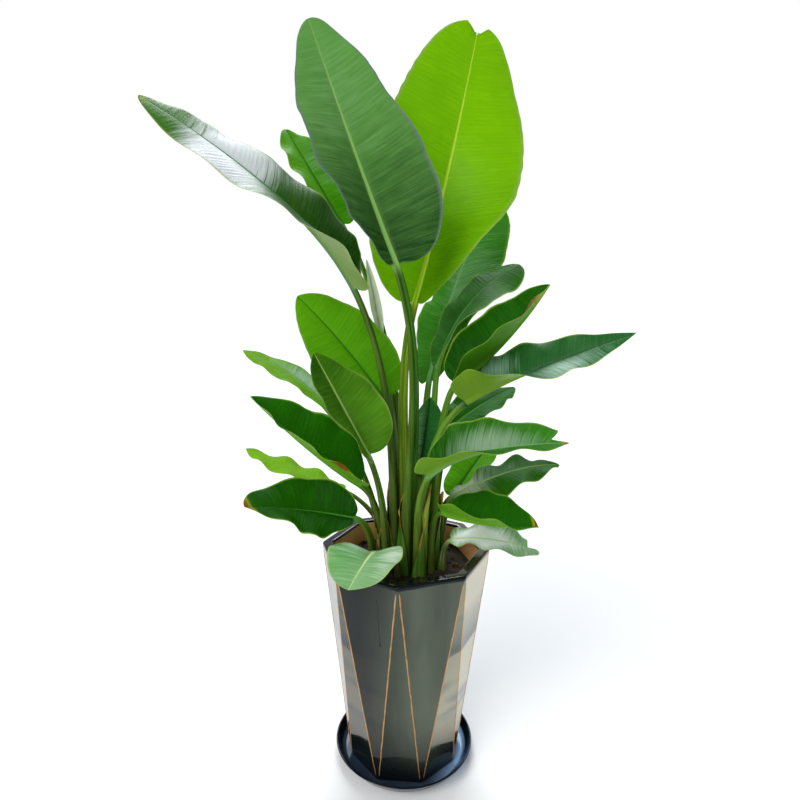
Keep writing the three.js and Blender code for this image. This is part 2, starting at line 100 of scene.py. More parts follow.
def smooth(piece: bpy.types.Object, angle: float) -> None:
    """Shade a piece smooth, with edges sharper than the angle left crisp."""
    only(piece)
    bpy.ops.object.shade_smooth_by_angle(angle=math.radians(angle))


def join(pieces: list[bpy.types.Object]) -> bpy.types.Object:
    """Make one piece of several."""
    only(pieces[0])
    for piece in pieces:
        piece.select_set(True)
    bpy.ops.object.join()
    return bpy.context.object


def settle(piece: bpy.types.Object, name: str, slot: str, *nodes: str) -> bpy.types.Object:
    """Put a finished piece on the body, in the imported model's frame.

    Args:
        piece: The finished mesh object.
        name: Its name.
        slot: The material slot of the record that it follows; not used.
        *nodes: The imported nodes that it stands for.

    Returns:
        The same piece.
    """
    only(piece)
    bpy.ops.object.transform_apply(location=True, rotation=True, scale=True)
    piece.name = name
    piece.data.name = name
    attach(piece, BODY)
    if nodes:
        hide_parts(*nodes)
    LOG.info("%s: %d faces", name, len(piece.data.polygons))
    return piece


def ease(t: np.ndarray | float) -> np.ndarray | float:
    """Smooth step from 0 to 1."""
    t = np.clip(t, 0.0, 1.0)
    return t * t * (3 - 2 * t)


def mix(a: np.ndarray | float, b: np.ndarray | float, t: np.ndarray | float) -> np.ndarray | float:
    """Straight blend from a to b."""
    return a + (b - a) * t


def unit(vectors: np.ndarray) -> np.ndarray:
    """Vectors scaled to length 1 along the last axis."""
    return vectors / np.maximum(np.linalg.norm(vectors, axis=-1, keepdims=True), 1e-12)


def squared(wish: np.ndarray, along: np.ndarray) -> np.ndarray:
    """Unit vectors across `along`, as near to `wish` as they can be."""
    return unit(wish - (wish * along).sum(-1, keepdims=True) * along)


def ripple(x: np.ndarray, seed: int) -> np.ndarray:
    """A smooth wandering curve between about -1 and 1.

    Args:
        x: Places, where one wander takes about 1.
        seed: Which curve.

    Returns:
        The curve's height at each place.
    """
    rng = np.random.default_rng(seed)
    total = np.zeros_like(x)
    for _ in range(WAVES):
        total += np.sin(x * rng.uniform(2.0, 8.0) + rng.uniform(0, 2 * math.pi))
    return total / math.sqrt(WAVES)


def skin(points: np.ndarray, masks: dict[str, np.ndarray] | None = None,
         vein_map: np.ndarray | None = None) -> bpy.types.Object:
    """Wrap a grid into a closed skin, one row of the grid for each cross-section.

    Args:
        points: Rows of cross-section points, shape (rows, columns, 3).
        masks: Colour attribute name to values, shape (rows, columns, 4).
        vein_map: Values for the UV map "vein_map", shape (rows, columns, 2).

    Returns:
        The closed mesh object, its faces pointing out.
    """
    rows, columns = points.shape[:2]
    bpy.ops.mesh.primitive_grid_add(x_subdivisions=columns, y_subdivisions=rows - 1, size=2)
    piece = bpy.context.object
    mesh = piece.data
    flat = np.empty(len(mesh.vertices) * 3)
    mesh.vertices.foreach_get("co", flat)
    flat = flat.reshape(-1, 3)
    column = np.rint((flat[:, 0] + 1) / 2 * columns).astype(int) % columns
    row = np.rint((flat[:, 1] + 1) / 2 * (rows - 1)).astype(int)
    mesh.vertices.foreach_set("co", points[row, column].ravel())
    for name, values in (masks or {}).items():
        layer = mesh.color_attributes.new(name, "FLOAT_COLOR", "POINT")
        layer.data.foreach_set("color", values[row, column].ravel())
    if vein_map is not None:
        corner = np.empty(len(mesh.loops), dtype=int)
        mesh.loops.foreach_get("vertex_index", corner)
        layer = mesh.uv_layers[0]
        layer.name = "vein_map"
        layer.data.foreach_set("uv", vein_map[row, column][corner].ravel())
    bpy.ops.object.mode_set(mode="EDIT")
    bpy.ops.mesh.select_all(action="SELECT")
    bpy.ops.mesh.remove_doubles(threshold=1e-7)
    bpy.ops.mesh.fill_holes(sides=0)
    bpy.ops.mesh.select_all(action="SELECT")
    bpy.ops.mesh.normals_make_consistent(inside=False)
    bpy.ops.object.mode_set(mode="OBJECT")
    return piece


def bead(middle: np.ndarray, across: np.ndarray, out: np.ndarray, half: np.ndarray, rise: np.ndarray,
         around: int) -> bpy.types.Object:
    """Lay a thin bead along a line.

    Args:
        middle: Points of the line, shape (points, 3).
        across: Unit vector along the surface, square to the line.
        out: Unit vector out of the surface.
        half: Half width of the bead at each point.
        rise: How far it stands out at each point.
        around: How many points a cross-section has.

    Returns:
        The bead.
    """
    angle = np.linspace(0, 2 * math.pi, around, endpoint=False)
    wide = np.cos(angle)[None, :] * half[:, None]
    high = np.sin(angle)[None, :] * rise[:, None]
    return skin(middle[:, None, :] + (across * wide[..., None] + out * high[..., None]))


class RingForm:
    """A closed form raised from a cylinder: its top face is extruded from ring to ring."""

    def __init__(self, bottom: Ring, top: Ring) -> None:
        """Start with a cylinder between two rings of as many points each."""
        count = len(bottom)
        bpy.ops.mesh.primitive_cylinder_add(vertices=count, radius=1, depth=2, end_fill_type="NGON")
        self.piece = bpy.context.object
        for vertex in self.piece.data.vertices:
            turn = math.atan2(vertex.co.x, -vertex.co.y) / (2 * math.pi)
            place = round(turn * count) % count
            vertex.co = (top if vertex.co.z > 0 else bottom)[place]
        self.ring = top
        bpy.ops.object.mode_set(mode="EDIT")
        bpy.ops.mesh.select_mode(type="FACE")
        bpy.ops.mesh.select_all(action="DESELECT")
        bpy.ops.object.mode_set(mode="OBJECT")
        caps = [face for face in self.piece.data.polygons if len(face.vertices) == count]
        max(caps, key=lambda face: face.center.z).select = True

    def extrude(self, ring: Ring) -> None:
        """Extrude the top face and move its corners onto the next ring."""
        only(self.piece)
        bpy.ops.object.mode_set(mode="EDIT")
        bpy.ops.mesh.extrude_region_move(TRANSFORM_OT_translate={"value": (0, 0, 0.0001)})
        bpy.ops.object.mode_set(mode="OBJECT")
        moved = [vertex for vertex in self.piece.data.vertices if vertex.select]
        for vertex in moved:
            near = min(range(len(self.ring)), key=lambda i: (self.ring[i] - vertex.co).length)
            vertex.co = ring[near]
        self.ring = ring


# ---------------------------------------------------------------- finishes


class Nodes:
    """One node tree. Each shorthand adds a node to it and gives the output to go on from."""

    def __init__(self, tree: bpy.types.NodeTree) -> None:
        """Start with the tree emptied."""
        tree.nodes.clear()
        self.tree = tree

    def add(self, kind: str, inputs: dict | None = None, **settings) -> bpy.types.Node:
        """Add a node with its settings and links.

        Args:
            kind: The node's type name, without the "ShaderNode" that it begins with.
            inputs: Socket name or number to a value, or to the output socket that feeds it.
            **settings: The node's own properties.

        Returns:
            The new node.
        """
        node = self.tree.nodes.new("ShaderNode" + kind)
        for name, value in settings.items():
            setattr(node, name, value)
        for key, value in (inputs or {}).items():
            if isinstance(value, Socket):
                self.tree.links.new(value, node.inputs[key])
            else:
                node.inputs[key].default_value = value
        return node

    def place(self) -> Socket:
        """The piece's own coordinates, in metres."""
        return self.add("TexCoord").outputs["Object"]

    def split(self, vector: Socket) -> bpy.types.NodeOutputs:
        """The vector's "X", "Y" and "Z"."""
        return self.add("SeparateXYZ", {0: vector}).outputs

    def stretch(self, vector: Socket, by: Triple) -> Socket:
        """The vector with each coordinate multiplied."""
        return self.add("VectorMath", {0: vector, 1: by}, operation="MULTIPLY").outputs[0]

    def vein_map(self) -> Socket:
        """Distance along the leaf and across it, in metres."""
        return self.add("UVMap", uv_map="vein_map").outputs[0]

    def painted(self, name: str) -> tuple[Socket, Socket, Socket, Socket]:
        """Red, green, blue and alpha of a mask that is painted on the piece."""
        mask = self.add("Attribute", attribute_name=name).outputs
        red, green, blue = self.add("SeparateColor", {0: mask["Color"]}).outputs
        return red, green, blue, mask["Alpha"]

    def noise(self, vector: Socket, scale: float, detail: float, rough: float = 0.5) -> Socket:
        """Cloudy noise between 0 and 1, each cloud about 1 / scale wide."""
        inputs = {"Vector": vector, "Scale": scale, "Detail": detail, "Roughness": rough}
        return self.add("TexNoise", inputs).outputs["Fac"]

    def math(self, operation: str, *values: Value, clamp: bool = False) -> Socket:
        """Result of one operation on one, two or three values."""
        return self.add("Math", dict(enumerate(values)), operation=operation, use_clamp=clamp).outputs[0]

    def product(self, first: Socket, *others: Value) -> Socket:
        """All the values multiplied."""
        for value in others:
            first = self.math("MULTIPLY", first, value)
        return first

    def plus(self, base: Socket, value: Socket, factor: float) -> Socket:
        """The base with so much of the value added."""
        return self.math("MULTIPLY_ADD", value, factor, base)

    def ramp(self, value: Socket, start: float, end: float, low: float = 0.0, high: float = 1.0,
             soft: bool = False) -> Socket:
        """From low, where the value is at start, to high, where it is at end."""
        return self.add("MapRange", dict(enumerate((value, start, end, low, high))),
                        interpolation_type="SMOOTHSTEP" if soft else "LINEAR").outputs[0]

    def blend(self, share: Value, first: Socket | str, second: Socket | str) -> Socket:
        """Colour from the first to the second, each of them an output or a hex colour."""
        low, high = (linear(end) if isinstance(end, str) else end for end in (first, second))
        return self.add("Mix", {0: share, 6: low, 7: high}, data_type="RGBA").outputs[2]

    def bump(self, height: Socket, distance: float, strength: float, on: Socket | None = None) -> Socket:
        """Fine relief, on top of another relief if one is given."""
        inputs = {"Height": height, "Distance": distance, "Strength": strength}
        if on is not None:
            inputs["Normal"] = on
        return self.add("Bump", inputs).outputs[0]

    def surface(self, colour: Socket, roughness: Value, relief: Socket, metallic: float = 0.0,
                specular: float = 0.5, ior: float = 1.5) -> Socket:
        """A surface that light comes back from."""
        return self.add("BsdfPrincipled", {
            "Base Color": colour, "Roughness": roughness, "Normal": relief, "Metallic": metallic,
            "Specular IOR Level": specular, "IOR": ior}).outputs[0]

    def layered(self, share: Value, first: Socket, second: Socket) -> Socket:
        """The first surface with so much of the second."""
        return self.add("MixShader", {0: share, 1: first, 2: second}).outputs[0]


class Finish:
    """A finish that is made once and then shared by the pieces that have it."""

    name: str
    made: ClassVar[dict[str, bpy.types.Material]] = {}

    def surface(self, nodes: Nodes) -> Socket:
        """The finish's surface; each kind of finish has its own."""
        raise NotImplementedError

    def material(self) -> bpy.types.Material:
        """The finish's material, made on first use."""
        if self.name not in Finish.made:
            look = bpy.data.materials.new(self.name)
            look.use_nodes = True
            nodes = Nodes(look.node_tree)
            nodes.add("OutputMaterial", {"Surface": self.surface(nodes)})
            Finish.made[self.name] = look
        return Finish.made[self.name]

    def dress(self, piece: bpy.types.Object) -> None:
        """Give the piece this finish all over."""
        piece.data.materials.clear()
        piece.data.materials.append(self.material())


@dataclass(frozen=True)
class BlackGlaze(Finish):
    """Dipped stoneware glaze, fired to gloss. It runs a little, so its surface waves gently.
    It is black, and stays black at the lip; on the facets a grey-green painted reflection of
    the room lies over it, fading out towards the foot and towards one side. At a glance it
    mirrors in painted reflection colours: pale bands, blue-grey bands and a dark band."""

    name: str = "dipped_black_glaze"
    # thin is the painted grey-green reflection of the room, thick the glaze's own black
    thin: str = "#5f6858"
    thick: str = "#090e13"
    foot: float = 0.0  # height where the painted reflection of the room begins
    body: float = 0.2  # height where it is at its fullest
    band: float = 0.4915  # height where the second dip, round the lip, begins
    band_edge: float = 0.004  # height over which the second dip thickens
    band_wave: float = 0.005
    painted_reflection_side: tuple[float, float] = (-0.1, 0.05)  # x from where the painted reflection has faded to where it is full
    faded_reflection_share: float = 0.1  # how much of it is left where it has faded
    # Colours of what it mirrors at a glance: painted reflection, pale beige with blue-grey bands
    mirror: str = "#e6dcc0"
    reflected_blue_grey: str = "#8f9aa6"
    glance: float = 0.75  # how much it mirrors at a glance
    glance_lip: float = 0.4  # share of that in the second dip
    glance_faded_side: float = 0.3  # share of that where the painted reflection has faded
    reflected_dark_band: str = "#4a545e"  # painted dark band of reflection round the sides
    dark_band_at: float = 0.325  # height of that band's lower edge
    dark_band_height: float = 0.1  # how high it fades out above that
    wave: float = 0.055  # length of the surface's waves
    roughness: float = 0.06

    def surface(self, nodes: Nodes) -> Socket:
        """Nodes for the glaze, read from the piece's own coordinates."""
        place = nodes.place()
        split = nodes.split(place)
        clouds = nodes.noise(nodes.stretch(place, (1.0, 1.0, 0.16)), 20.0, 3.0)
        # The painted reflection fades out towards the foot, and the mirroring fades with it.
        rise = nodes.ramp(split["Z"], self.foot, self.body, 0.0, 0.9, soft=True)
        ragged = nodes.plus(split["Z"], clouds, self.band_wave)
        under_lip = nodes.ramp(ragged, self.band, self.band + self.band_edge, 1.0, 0.0, soft=True)
        uneven = nodes.ramp(clouds, 0.3, 0.62, 0.62)
        # It fades out towards one side as well; on the saucer this is where its painted sky reflection
        # ends.
        pooled = nodes.ramp(split["X"], *self.painted_reflection_side, self.faded_reflection_share, soft=True)
        colour = nodes.blend(nodes.product(rise, under_lip, uneven, pooled), self.thick, self.thin)
        slow = nodes.bump(nodes.noise(place, 1 / self.wave, 1.0), 0.0011, 0.5)
        pits = nodes.bump(nodes.noise(place, 600.0, 2.0), 0.00003, 0.35, slow)
        dull = nodes.ramp(clouds, 0.35, 0.75, self.roughness, self.roughness + 0.1)
        gloss = nodes.surface(colour, dull, pits, specular=0.22)
        # What it mirrors is tinted with painted reflection: pale beige, blue-grey bands and a dark band
        # round the sides.
        bands = nodes.noise(nodes.stretch(place, (2.0, 2.0, 9.0)), 1.6, 2.0)
        tint = nodes.blend(nodes.ramp(bands, 0.5, 0.68, soft=True), self.mirror, self.reflected_blue_grey)
        above = nodes.ramp(ragged, self.dark_band_at + self.dark_band_height, self.dark_band_at, 0.0, 0.85)
        below = nodes.ramp(ragged, self.dark_band_at - 0.01, self.dark_band_at, soft=True)
        tint = nodes.blend(nodes.product(above, below), tint, self.reflected_dark_band)
        mirror = nodes.surface(tint, dull, slow, metallic=1.0)
        facing = nodes.add("LayerWeight", {"Blend": 0.5}).outputs["Facing"]
        glance = nodes.ramp(facing, 0.3, 0.75, 0.0, self.glance, soft=True)
        lipped = nodes.ramp(under_lip, 0.0, 1.0, self.glance_lip)
        sided = nodes.ramp(pooled, self.faded_reflection_share, 1.0, self.glance_faded_side)
        return nodes.layered(nodes.product(glance, lipped, rise, sided), gloss, mirror)


@dataclass(frozen=True)
class GoldLustre(Finish):
    """Brushed-on gold lustre, fired on the glaze: thin metal that is worn brown in places."""

    name: str = "fired_gold_lustre"
    gold: str = "#c0915a"
    worn: str = "#7a5228"

    def surface(self, nodes: Nodes) -> Socket:
        """Nodes for the lustre."""
        wear = nodes.noise(nodes.place(), 70.0, 4.0)
        colour = nodes.blend(nodes.ramp(wear, 0.56, 0.78), self.gold, self.worn)
        return nodes.surface(colour, 0.36, nodes.bump(wear, 0.0003, 0.4), metallic=0.55)


@dataclass(frozen=True)
class BareClay(Finish):
    """Unglazed stoneware inside the pot: sandy tan clay, dull, darker towards the soil."""

    name: str = "unglazed_tan_clay"
    clay: str = "#eeb070"
    lower_clay: str = "#c08548"
    grit: float = 0.0012  # size of the sand grains
    darker_heights: tuple[float, float] = (0.462, 0.502)  # height from where it is darkest to where it is lightest

    def surface(self, nodes: Nodes) -> Socket:
        """Nodes for the bare clay."""
        place = nodes.place()
        wobble = nodes.plus(nodes.split(place)["Z"], nodes.noise(place, 24.0, 5.0), 0.03)
        # The clay is darker towards the soil.
        colour = nodes.blend(nodes.ramp(wobble, *self.darker_heights), self.lower_clay, self.clay)
        grains = nodes.noise(place, 1 / self.grit, 3.0)
        return nodes.surface(colour, 0.92, nodes.bump(grains, 0.0004, 0.6))


@dataclass(frozen=True)
class PottingMix(Finish):
    """Peat and bark potting mix: dark, fibrous and rough, with paler dry crumbs."""

    name: str = "peat_potting_mix"
    damp: str = "#120c06"
    dry: str = "#342612"
    crumb: float = 0.006  # size of the crumbs

    def surface(self, nodes: Nodes) -> Socket:
        """Nodes for the potting mix."""
        place = nodes.place()
        crumbs = nodes.noise(place, 1 / self.crumb, 6.0, 0.7)
        mottle = nodes.product(crumbs, nodes.noise(place, 30.0, 2.0))
        colour = nodes.blend(nodes.ramp(mottle, 0.16, 0.4), self.damp, self.dry)
        return nodes.surface(colour, 0.97, nodes.bump(crumbs, 0.003, 0.8))


@dataclass(frozen=True)
class SheathTissue(Finish):
    """Clasping foot of a stalk: fibrous green tissue whose thin edges have dried orange."""

    name: str
    green: str
    shade: str
    dried: str = "#c9962e"
    dead: str = "#86501e"
    fibre: float = 0.0024  # spacing of the fibres
    thin: float = 0.22  # share of the light that goes through rather than back

    def surface(self, nodes: Nodes) -> Socket:
        """Nodes for the sheath, with the fibres running up it."""
        dryness = nodes.painted("age")[0]
        fibres = nodes.noise(nodes.stretch(nodes.vein_map(), (8.0, 1 / self.fibre, 0.0)), 1.0, 3.0)
        living = nodes.blend(nodes.ramp(fibres, 0.3, 0.7), self.shade, self.green)
        worn = nodes.plus(dryness, fibres, 0.5)
        edged = nodes.blend(nodes.ramp(worn, 0.4, 0.85, soft=True), living, self.dried)
        colour = nodes.blend(nodes.ramp(worn, 1.05, 1.35), edged, self.dead)
        back = nodes.surface(colour, 0.45, nodes.bump(fibres, 0.0003, 0.5), specular=0.4)
        through = nodes.add("BsdfTranslucent", {"Color": colour}).outputs[0]
        return nodes.layered(self.thin, back, through)


@dataclass(frozen=True)
class LeafTissue(Finish):
    """Living leaf: green tissue under a waxy skin, with fine side veins that sweep from the
    midrib to the margin. Light comes through it yellower than it comes back. Its waxy bloom
    carries painted glare of the sky, and its tone is partly painted light and shade."""

    name: str
    deep: str
    bright: str
    under: str
    rib: str
    stalk: str
    stalk_shade: str
    glow: str
    thin: float = 0.38  # share of the light that goes through rather than back
    roughness: float = 0.36
    vein: float = 0.0029  # spacing of the fine side veins, drawn a little coarse to show
    main_vein: float = 0.0085  # spacing of the stronger ones, which ride on the pleats
    vein_light: float = 0.3  # how much lighter the stronger ones are
    relief: float = 0.5  # strength of the veins' relief
    specular: float = 0.36
    bloom_and_glare_colour: str = "#a9c3a6"  # colour of the waxy bloom, with the sky's glare painted into it
    furrow: float = 0.2  # how much less bloom and painted glare there is along every second pleat
    edge: str = "#a8bd62"
    flank: str = "#7c4a24"  # brown that the stalk's flanks are tinged with
    painted_low_shade: str = "#3a3f14"  # painted shade on the stalks low down, where they crowd together
    painted_low_shade_to: tuple[float, float] = (0.455, 0.74)  # height from the soil to where that ends
    yellowed: str = "#b4b324"
    dead: str = "#96561c"

    def surface(self, nodes: Nodes) -> Socket:
        """Nodes for the leaf, read from its vein map and its painted masks."""
        place, vein_map = nodes.place(), nodes.vein_map()
        along = nodes.split(vein_map)["X"]
        rib, under, tone_and_painted_light, _ = nodes.painted("form")
        brown, yellow, margin, bloom_and_glare = nodes.painted("age")

        fine = nodes.noise(nodes.stretch(vein_map, (1 / self.vein, 16.0, 0.0)), 1.0, 1.5)
        broad = nodes.noise(nodes.stretch(vein_map, (1 / (self.vein * 4.2), 9.0, 0.0)), 1.0, 2.0)
        clouds = nodes.noise(place, 26.0, 4.0)
        streaks = nodes.math("ADD", fine, broad)
        beat = nodes.product(along, 2 * math.pi / self.main_vein)
        crest = nodes.ramp(nodes.math("SINE", beat), 0.7, 1.0, soft=True)
        shown = nodes.ramp(clouds, 0.35, 0.65, 0.05, self.vein_light)
        uneven = nodes.plus(nodes.plus(nodes.product(crest, shown), streaks, 0.42), clouds, 0.26)
        uneven = nodes.math("SUBTRACT", uneven, 0.58)
        # The leaf's own tone and its painted light and shade lighten or darken the green.
        green = nodes.blend(nodes.math("ADD", uneven, tone_and_painted_light, clamp=True), self.deep, self.bright)
        valley = nodes.ramp(nodes.math("SINE", nodes.product(beat, 0.5)), 0.86, 1.0, 0.0, -self.furrow,
                            soft=True)
        # Waxy bloom with the sky's glare painted in, broken along every second pleat.
        waxy = nodes.math("ADD", nodes.plus(bloom_and_glare, streaks, 0.5), valley)
        green = nodes.blend(nodes.ramp(waxy, 0.72, 1.36, 0.0, 0.9), green, self.bloom_and_glare_colour)
        below = nodes.blend(under, green, self.under)
        edged = nodes.blend(nodes.product(margin, 0.85), below, self.edge)

        fibres = nodes.noise(nodes.stretch(vein_map, (8.0, 420.0, 0.0)), 1.0, 3.0)
        stem = nodes.blend(nodes.ramp(fibres, 0.3, 0.7), self.stalk_shade, self.stalk)
        stem = nodes.blend(nodes.product(margin, 0.16), stem, self.flank)
        # Painted shade darkens the stalks low down, among one another.
        painted_low_shade = nodes.ramp(nodes.split(place)["Z"], *self.painted_low_shade_to, 0.8, 0.0, soft=True)
        stem = nodes.blend(painted_low_shade, stem, self.painted_low_shade)
        core = nodes.blend(nodes.ramp(along, 0.012, -0.03, soft=True), self.rib, stem)
        ribbed = nodes.blend(rib, edged, core)

        frayed = nodes.math("ADD", nodes.noise(place, 130.0, 4.0), streaks)
        turned = nodes.ramp(nodes.plus(yellow, frayed, 0.25), 0.8, 1.15)
        gone = nodes.ramp(nodes.plus(brown, frayed, 0.6), 1.25, 1.45)
        colour = nodes.blend(gone, nodes.blend(turned, ribbed, self.yellowed), self.dead)

        blade = nodes.math("SUBTRACT", 1.0, rib)
        relief = nodes.bump(nodes.product(nodes.plus(streaks, crest, 0.3), blade), 0.0007, self.relief)
        dull = nodes.ramp(clouds, 0.3, 0.7, self.roughness - 0.05, self.roughness + 0.1)
        back = nodes.surface(colour, dull, relief, specular=self.specular, ior=1.48)
        lit = nodes.blend(0.55, colour, self.glow)
        through = nodes.add("BsdfTranslucent", {"Color": lit, "Normal": relief}).outputs[0]
        return nodes.layered(nodes.product(blade, self.thin), back, through)


DEEP_GREEN = LeafTissue("waxy_deep_green_leaf", deep="#143f0c", bright="#4d962a", under="#80b42c",
                        rib="#7fa850", stalk="#6b9a2e", stalk_shade="#34621a", glow="#84c822",
                        bloom_and_glare_colour="#d9d0cd", specular=0.07, edge="#b6d64a")
CROWN_GREEN = LeafTissue("waxy_crown_leaf", deep="#123f10", bright="#88c866", under="#6f9a40",
                         rib="#94c666", stalk="#4a7c1e", stalk_shade="#1f460e", glow="#8ad040",
                         roughness=0.42, bloom_and_glare_colour="#a2c898", edge="#8f96a0", vein_light=0.1,
                         specular=0.1)
# Its yellow-greens are lightened to paint in the glow of light coming through it from behind.
LIT_GREEN = LeafTissue("yellow_green_leaf_painted_backlight", deep="#66a600", bright="#9ad800", under="#8cbc10",
                       rib="#acd42c", stalk="#7c9c1c", stalk_shade="#4a6c10", glow="#b8ea00", thin=0.45,
                       specular=0.14)
LIME_GREEN = LeafTissue("thin_lime_leaf", deep="#3f8404", bright="#86bc10", under="#8cb418",
                        rib="#6da024", stalk="#6e9420", stalk_shade="#446416", glow="#a0d008", thin=0.3,
                        specular=0.03, roughness=0.5, bloom_and_glare_colour="#b4ccc8")
BLUE_GREEN = LeafTissue("waxy_blue_green_leaf", deep="#103a08", bright="#52a430", under="#8cbc3c",
                        rib="#74a868", stalk="#74a834", stalk_shade="#3f7220", glow="#74b82e",
                        specular=0.04, edge="#b6d64a")
# Its bloom carries a strong painted glare of the open sky.
SKY_GREEN = LeafTissue("waxy_leaf_bloom_and_painted_sky_glare", deep="#0d3810", bright="#4f8a1e", under="#8ba85c",
                       rib="#4c8450", stalk="#56802c", stalk_shade="#31561a", glow="#74b82e",
                       thin=0.2, relief=0.08, bloom_and_glare_colour="#fafbff", furrow=0.42, specular=0.08)
TEAL_GREEN = LeafTissue("waxy_teal_leaf", deep="#0a3210", bright="#347e3c", under="#98c638",
                        rib="#154a1c", stalk="#7aac32", stalk_shade="#467420", glow="#74b82e",
                        roughness=0.32, bloom_and_glare_colour="#a8cbb8", specular=0.22, edge="#b6d64a")
MID_GREEN = LeafTissue("waxy_mid_green_leaf", deep="#2a7a04", bright="#76c018", under="#7cb426",
                       rib="#2f7810", stalk="#629224", stalk_shade="#356216", glow="#96d810", thin=0.4,
                       specular=0.07)
OLIVE_GREEN = LeafTissue("waxy_olive_leaf", deep="#225806", bright="#74b826", under="#88a854",
                         rib="#a2ca64", stalk="#68942c", stalk_shade="#3e661c", glow="#98cc28",
                         specular=0.12)
DARK_GREEN = LeafTissue("waxy_dark_leaf", deep="#072c02", bright="#2c7c12", under="#78b82c",
                        rib="#3f7c2a", stalk="#6c9e2c", stalk_shade="#3a6a1c", glow="#8ad420",
                        roughness=0.38, specular=0.04, bloom_and_glare_colour="#7d9c74", edge="#b6d64a")
# Its white bloom carries painted glare.
PALE_GREEN = LeafTissue("pale_leaf_bloom_and_painted_glare", deep="#358a26", bright="#9cc48c", under="#a8c050",
                        rib="#bcd490", stalk="#7fa040", stalk_shade="#547a2c", glow="#a8d458",
                        thin=0.1, bloom_and_glare_colour="#ffffff", furrow=0.05)
SPROUT = LeafTissue("pale_rolled_sprout", deep="#b8caa4", bright="#f2f6ea", under="#dfe8d2",
                    rib="#e4ead2", stalk="#7c9048", stalk_shade="#566a2c", glow="#e6f0cc", roughness=0.45)


# ---------------------------------------------------------------- saucer, planter and soil

NOWHERE = 9.0  # a height that nothing here reaches


def circle(radius: float, height: float, count: int = 144) -> Ring:
    """Points of a level circle, counted round from -Y towards +X."""
    step = 2 * math.pi / count
    return [Vector((radius * math.sin(i * step), -radius * math.cos(i * step), height))
            for i in range(count)]


@dataclass
class Saucer:
    """Round dish with a thin, nearly upright wall and a softly rounded rim."""

    base_radius: float = 0.138
    rim_radius: float = 0.156
    height: float = 0.028
    wall: float = 0.004
    floor: float = 0.005
    # Its pale blues are painted sky reflection, full on the right of the dish and faded on the left,
    # where its own blue-black glaze shows.
    glaze: BlackGlaze = field(default_factory=lambda: BlackGlaze(
        name="dipped_blue_black_glaze", thin="#a4ccf2", foot=-0.1, body=0.0, band=0.0105, band_wave=0.001,
        roughness=0.08, dark_band_at=NOWHERE, painted_reflection_side=(0.05, 0.13), mirror="#aecbee", reflected_blue_grey="#9bbbe0",
        glance=0.95, glance_faded_side=0.12))

    def build(self) -> bpy.types.Object:
        """Model the dish by extruding a disc outwards, up, over the rim and back inside."""
        top, rim, inner_rim = self.height, self.rim_radius, self.rim_radius - self.wall
        inner_base = self.base_radius - self.wall + MM
        form = RingForm(circle(self.base_radius - 2 * MM, 0.0), circle(self.base_radius, 2 * MM))
        for radius, height in (
                (rim, top - 1.6 * MM), (rim - 0.6 * MM, top - 0.4 * MM), (rim - 2 * MM, top),
                (inner_rim + 0.6 * MM, top - 0.4 * MM), (inner_rim, top - 1.6 * MM),
                (inner_base + 3 * MM, self.floor + 3 * MM),
                (inner_base + 0.9 * MM, self.floor + 0.9 * MM), (inner_base - 2 * MM, self.floor)):
            form.extrude(circle(radius, height))
        piece = form.piece
        smooth(piece, 50)
        self.glaze.dress(piece)
        return settle(piece, "glazed_saucer", "black_glaze", "saucer")


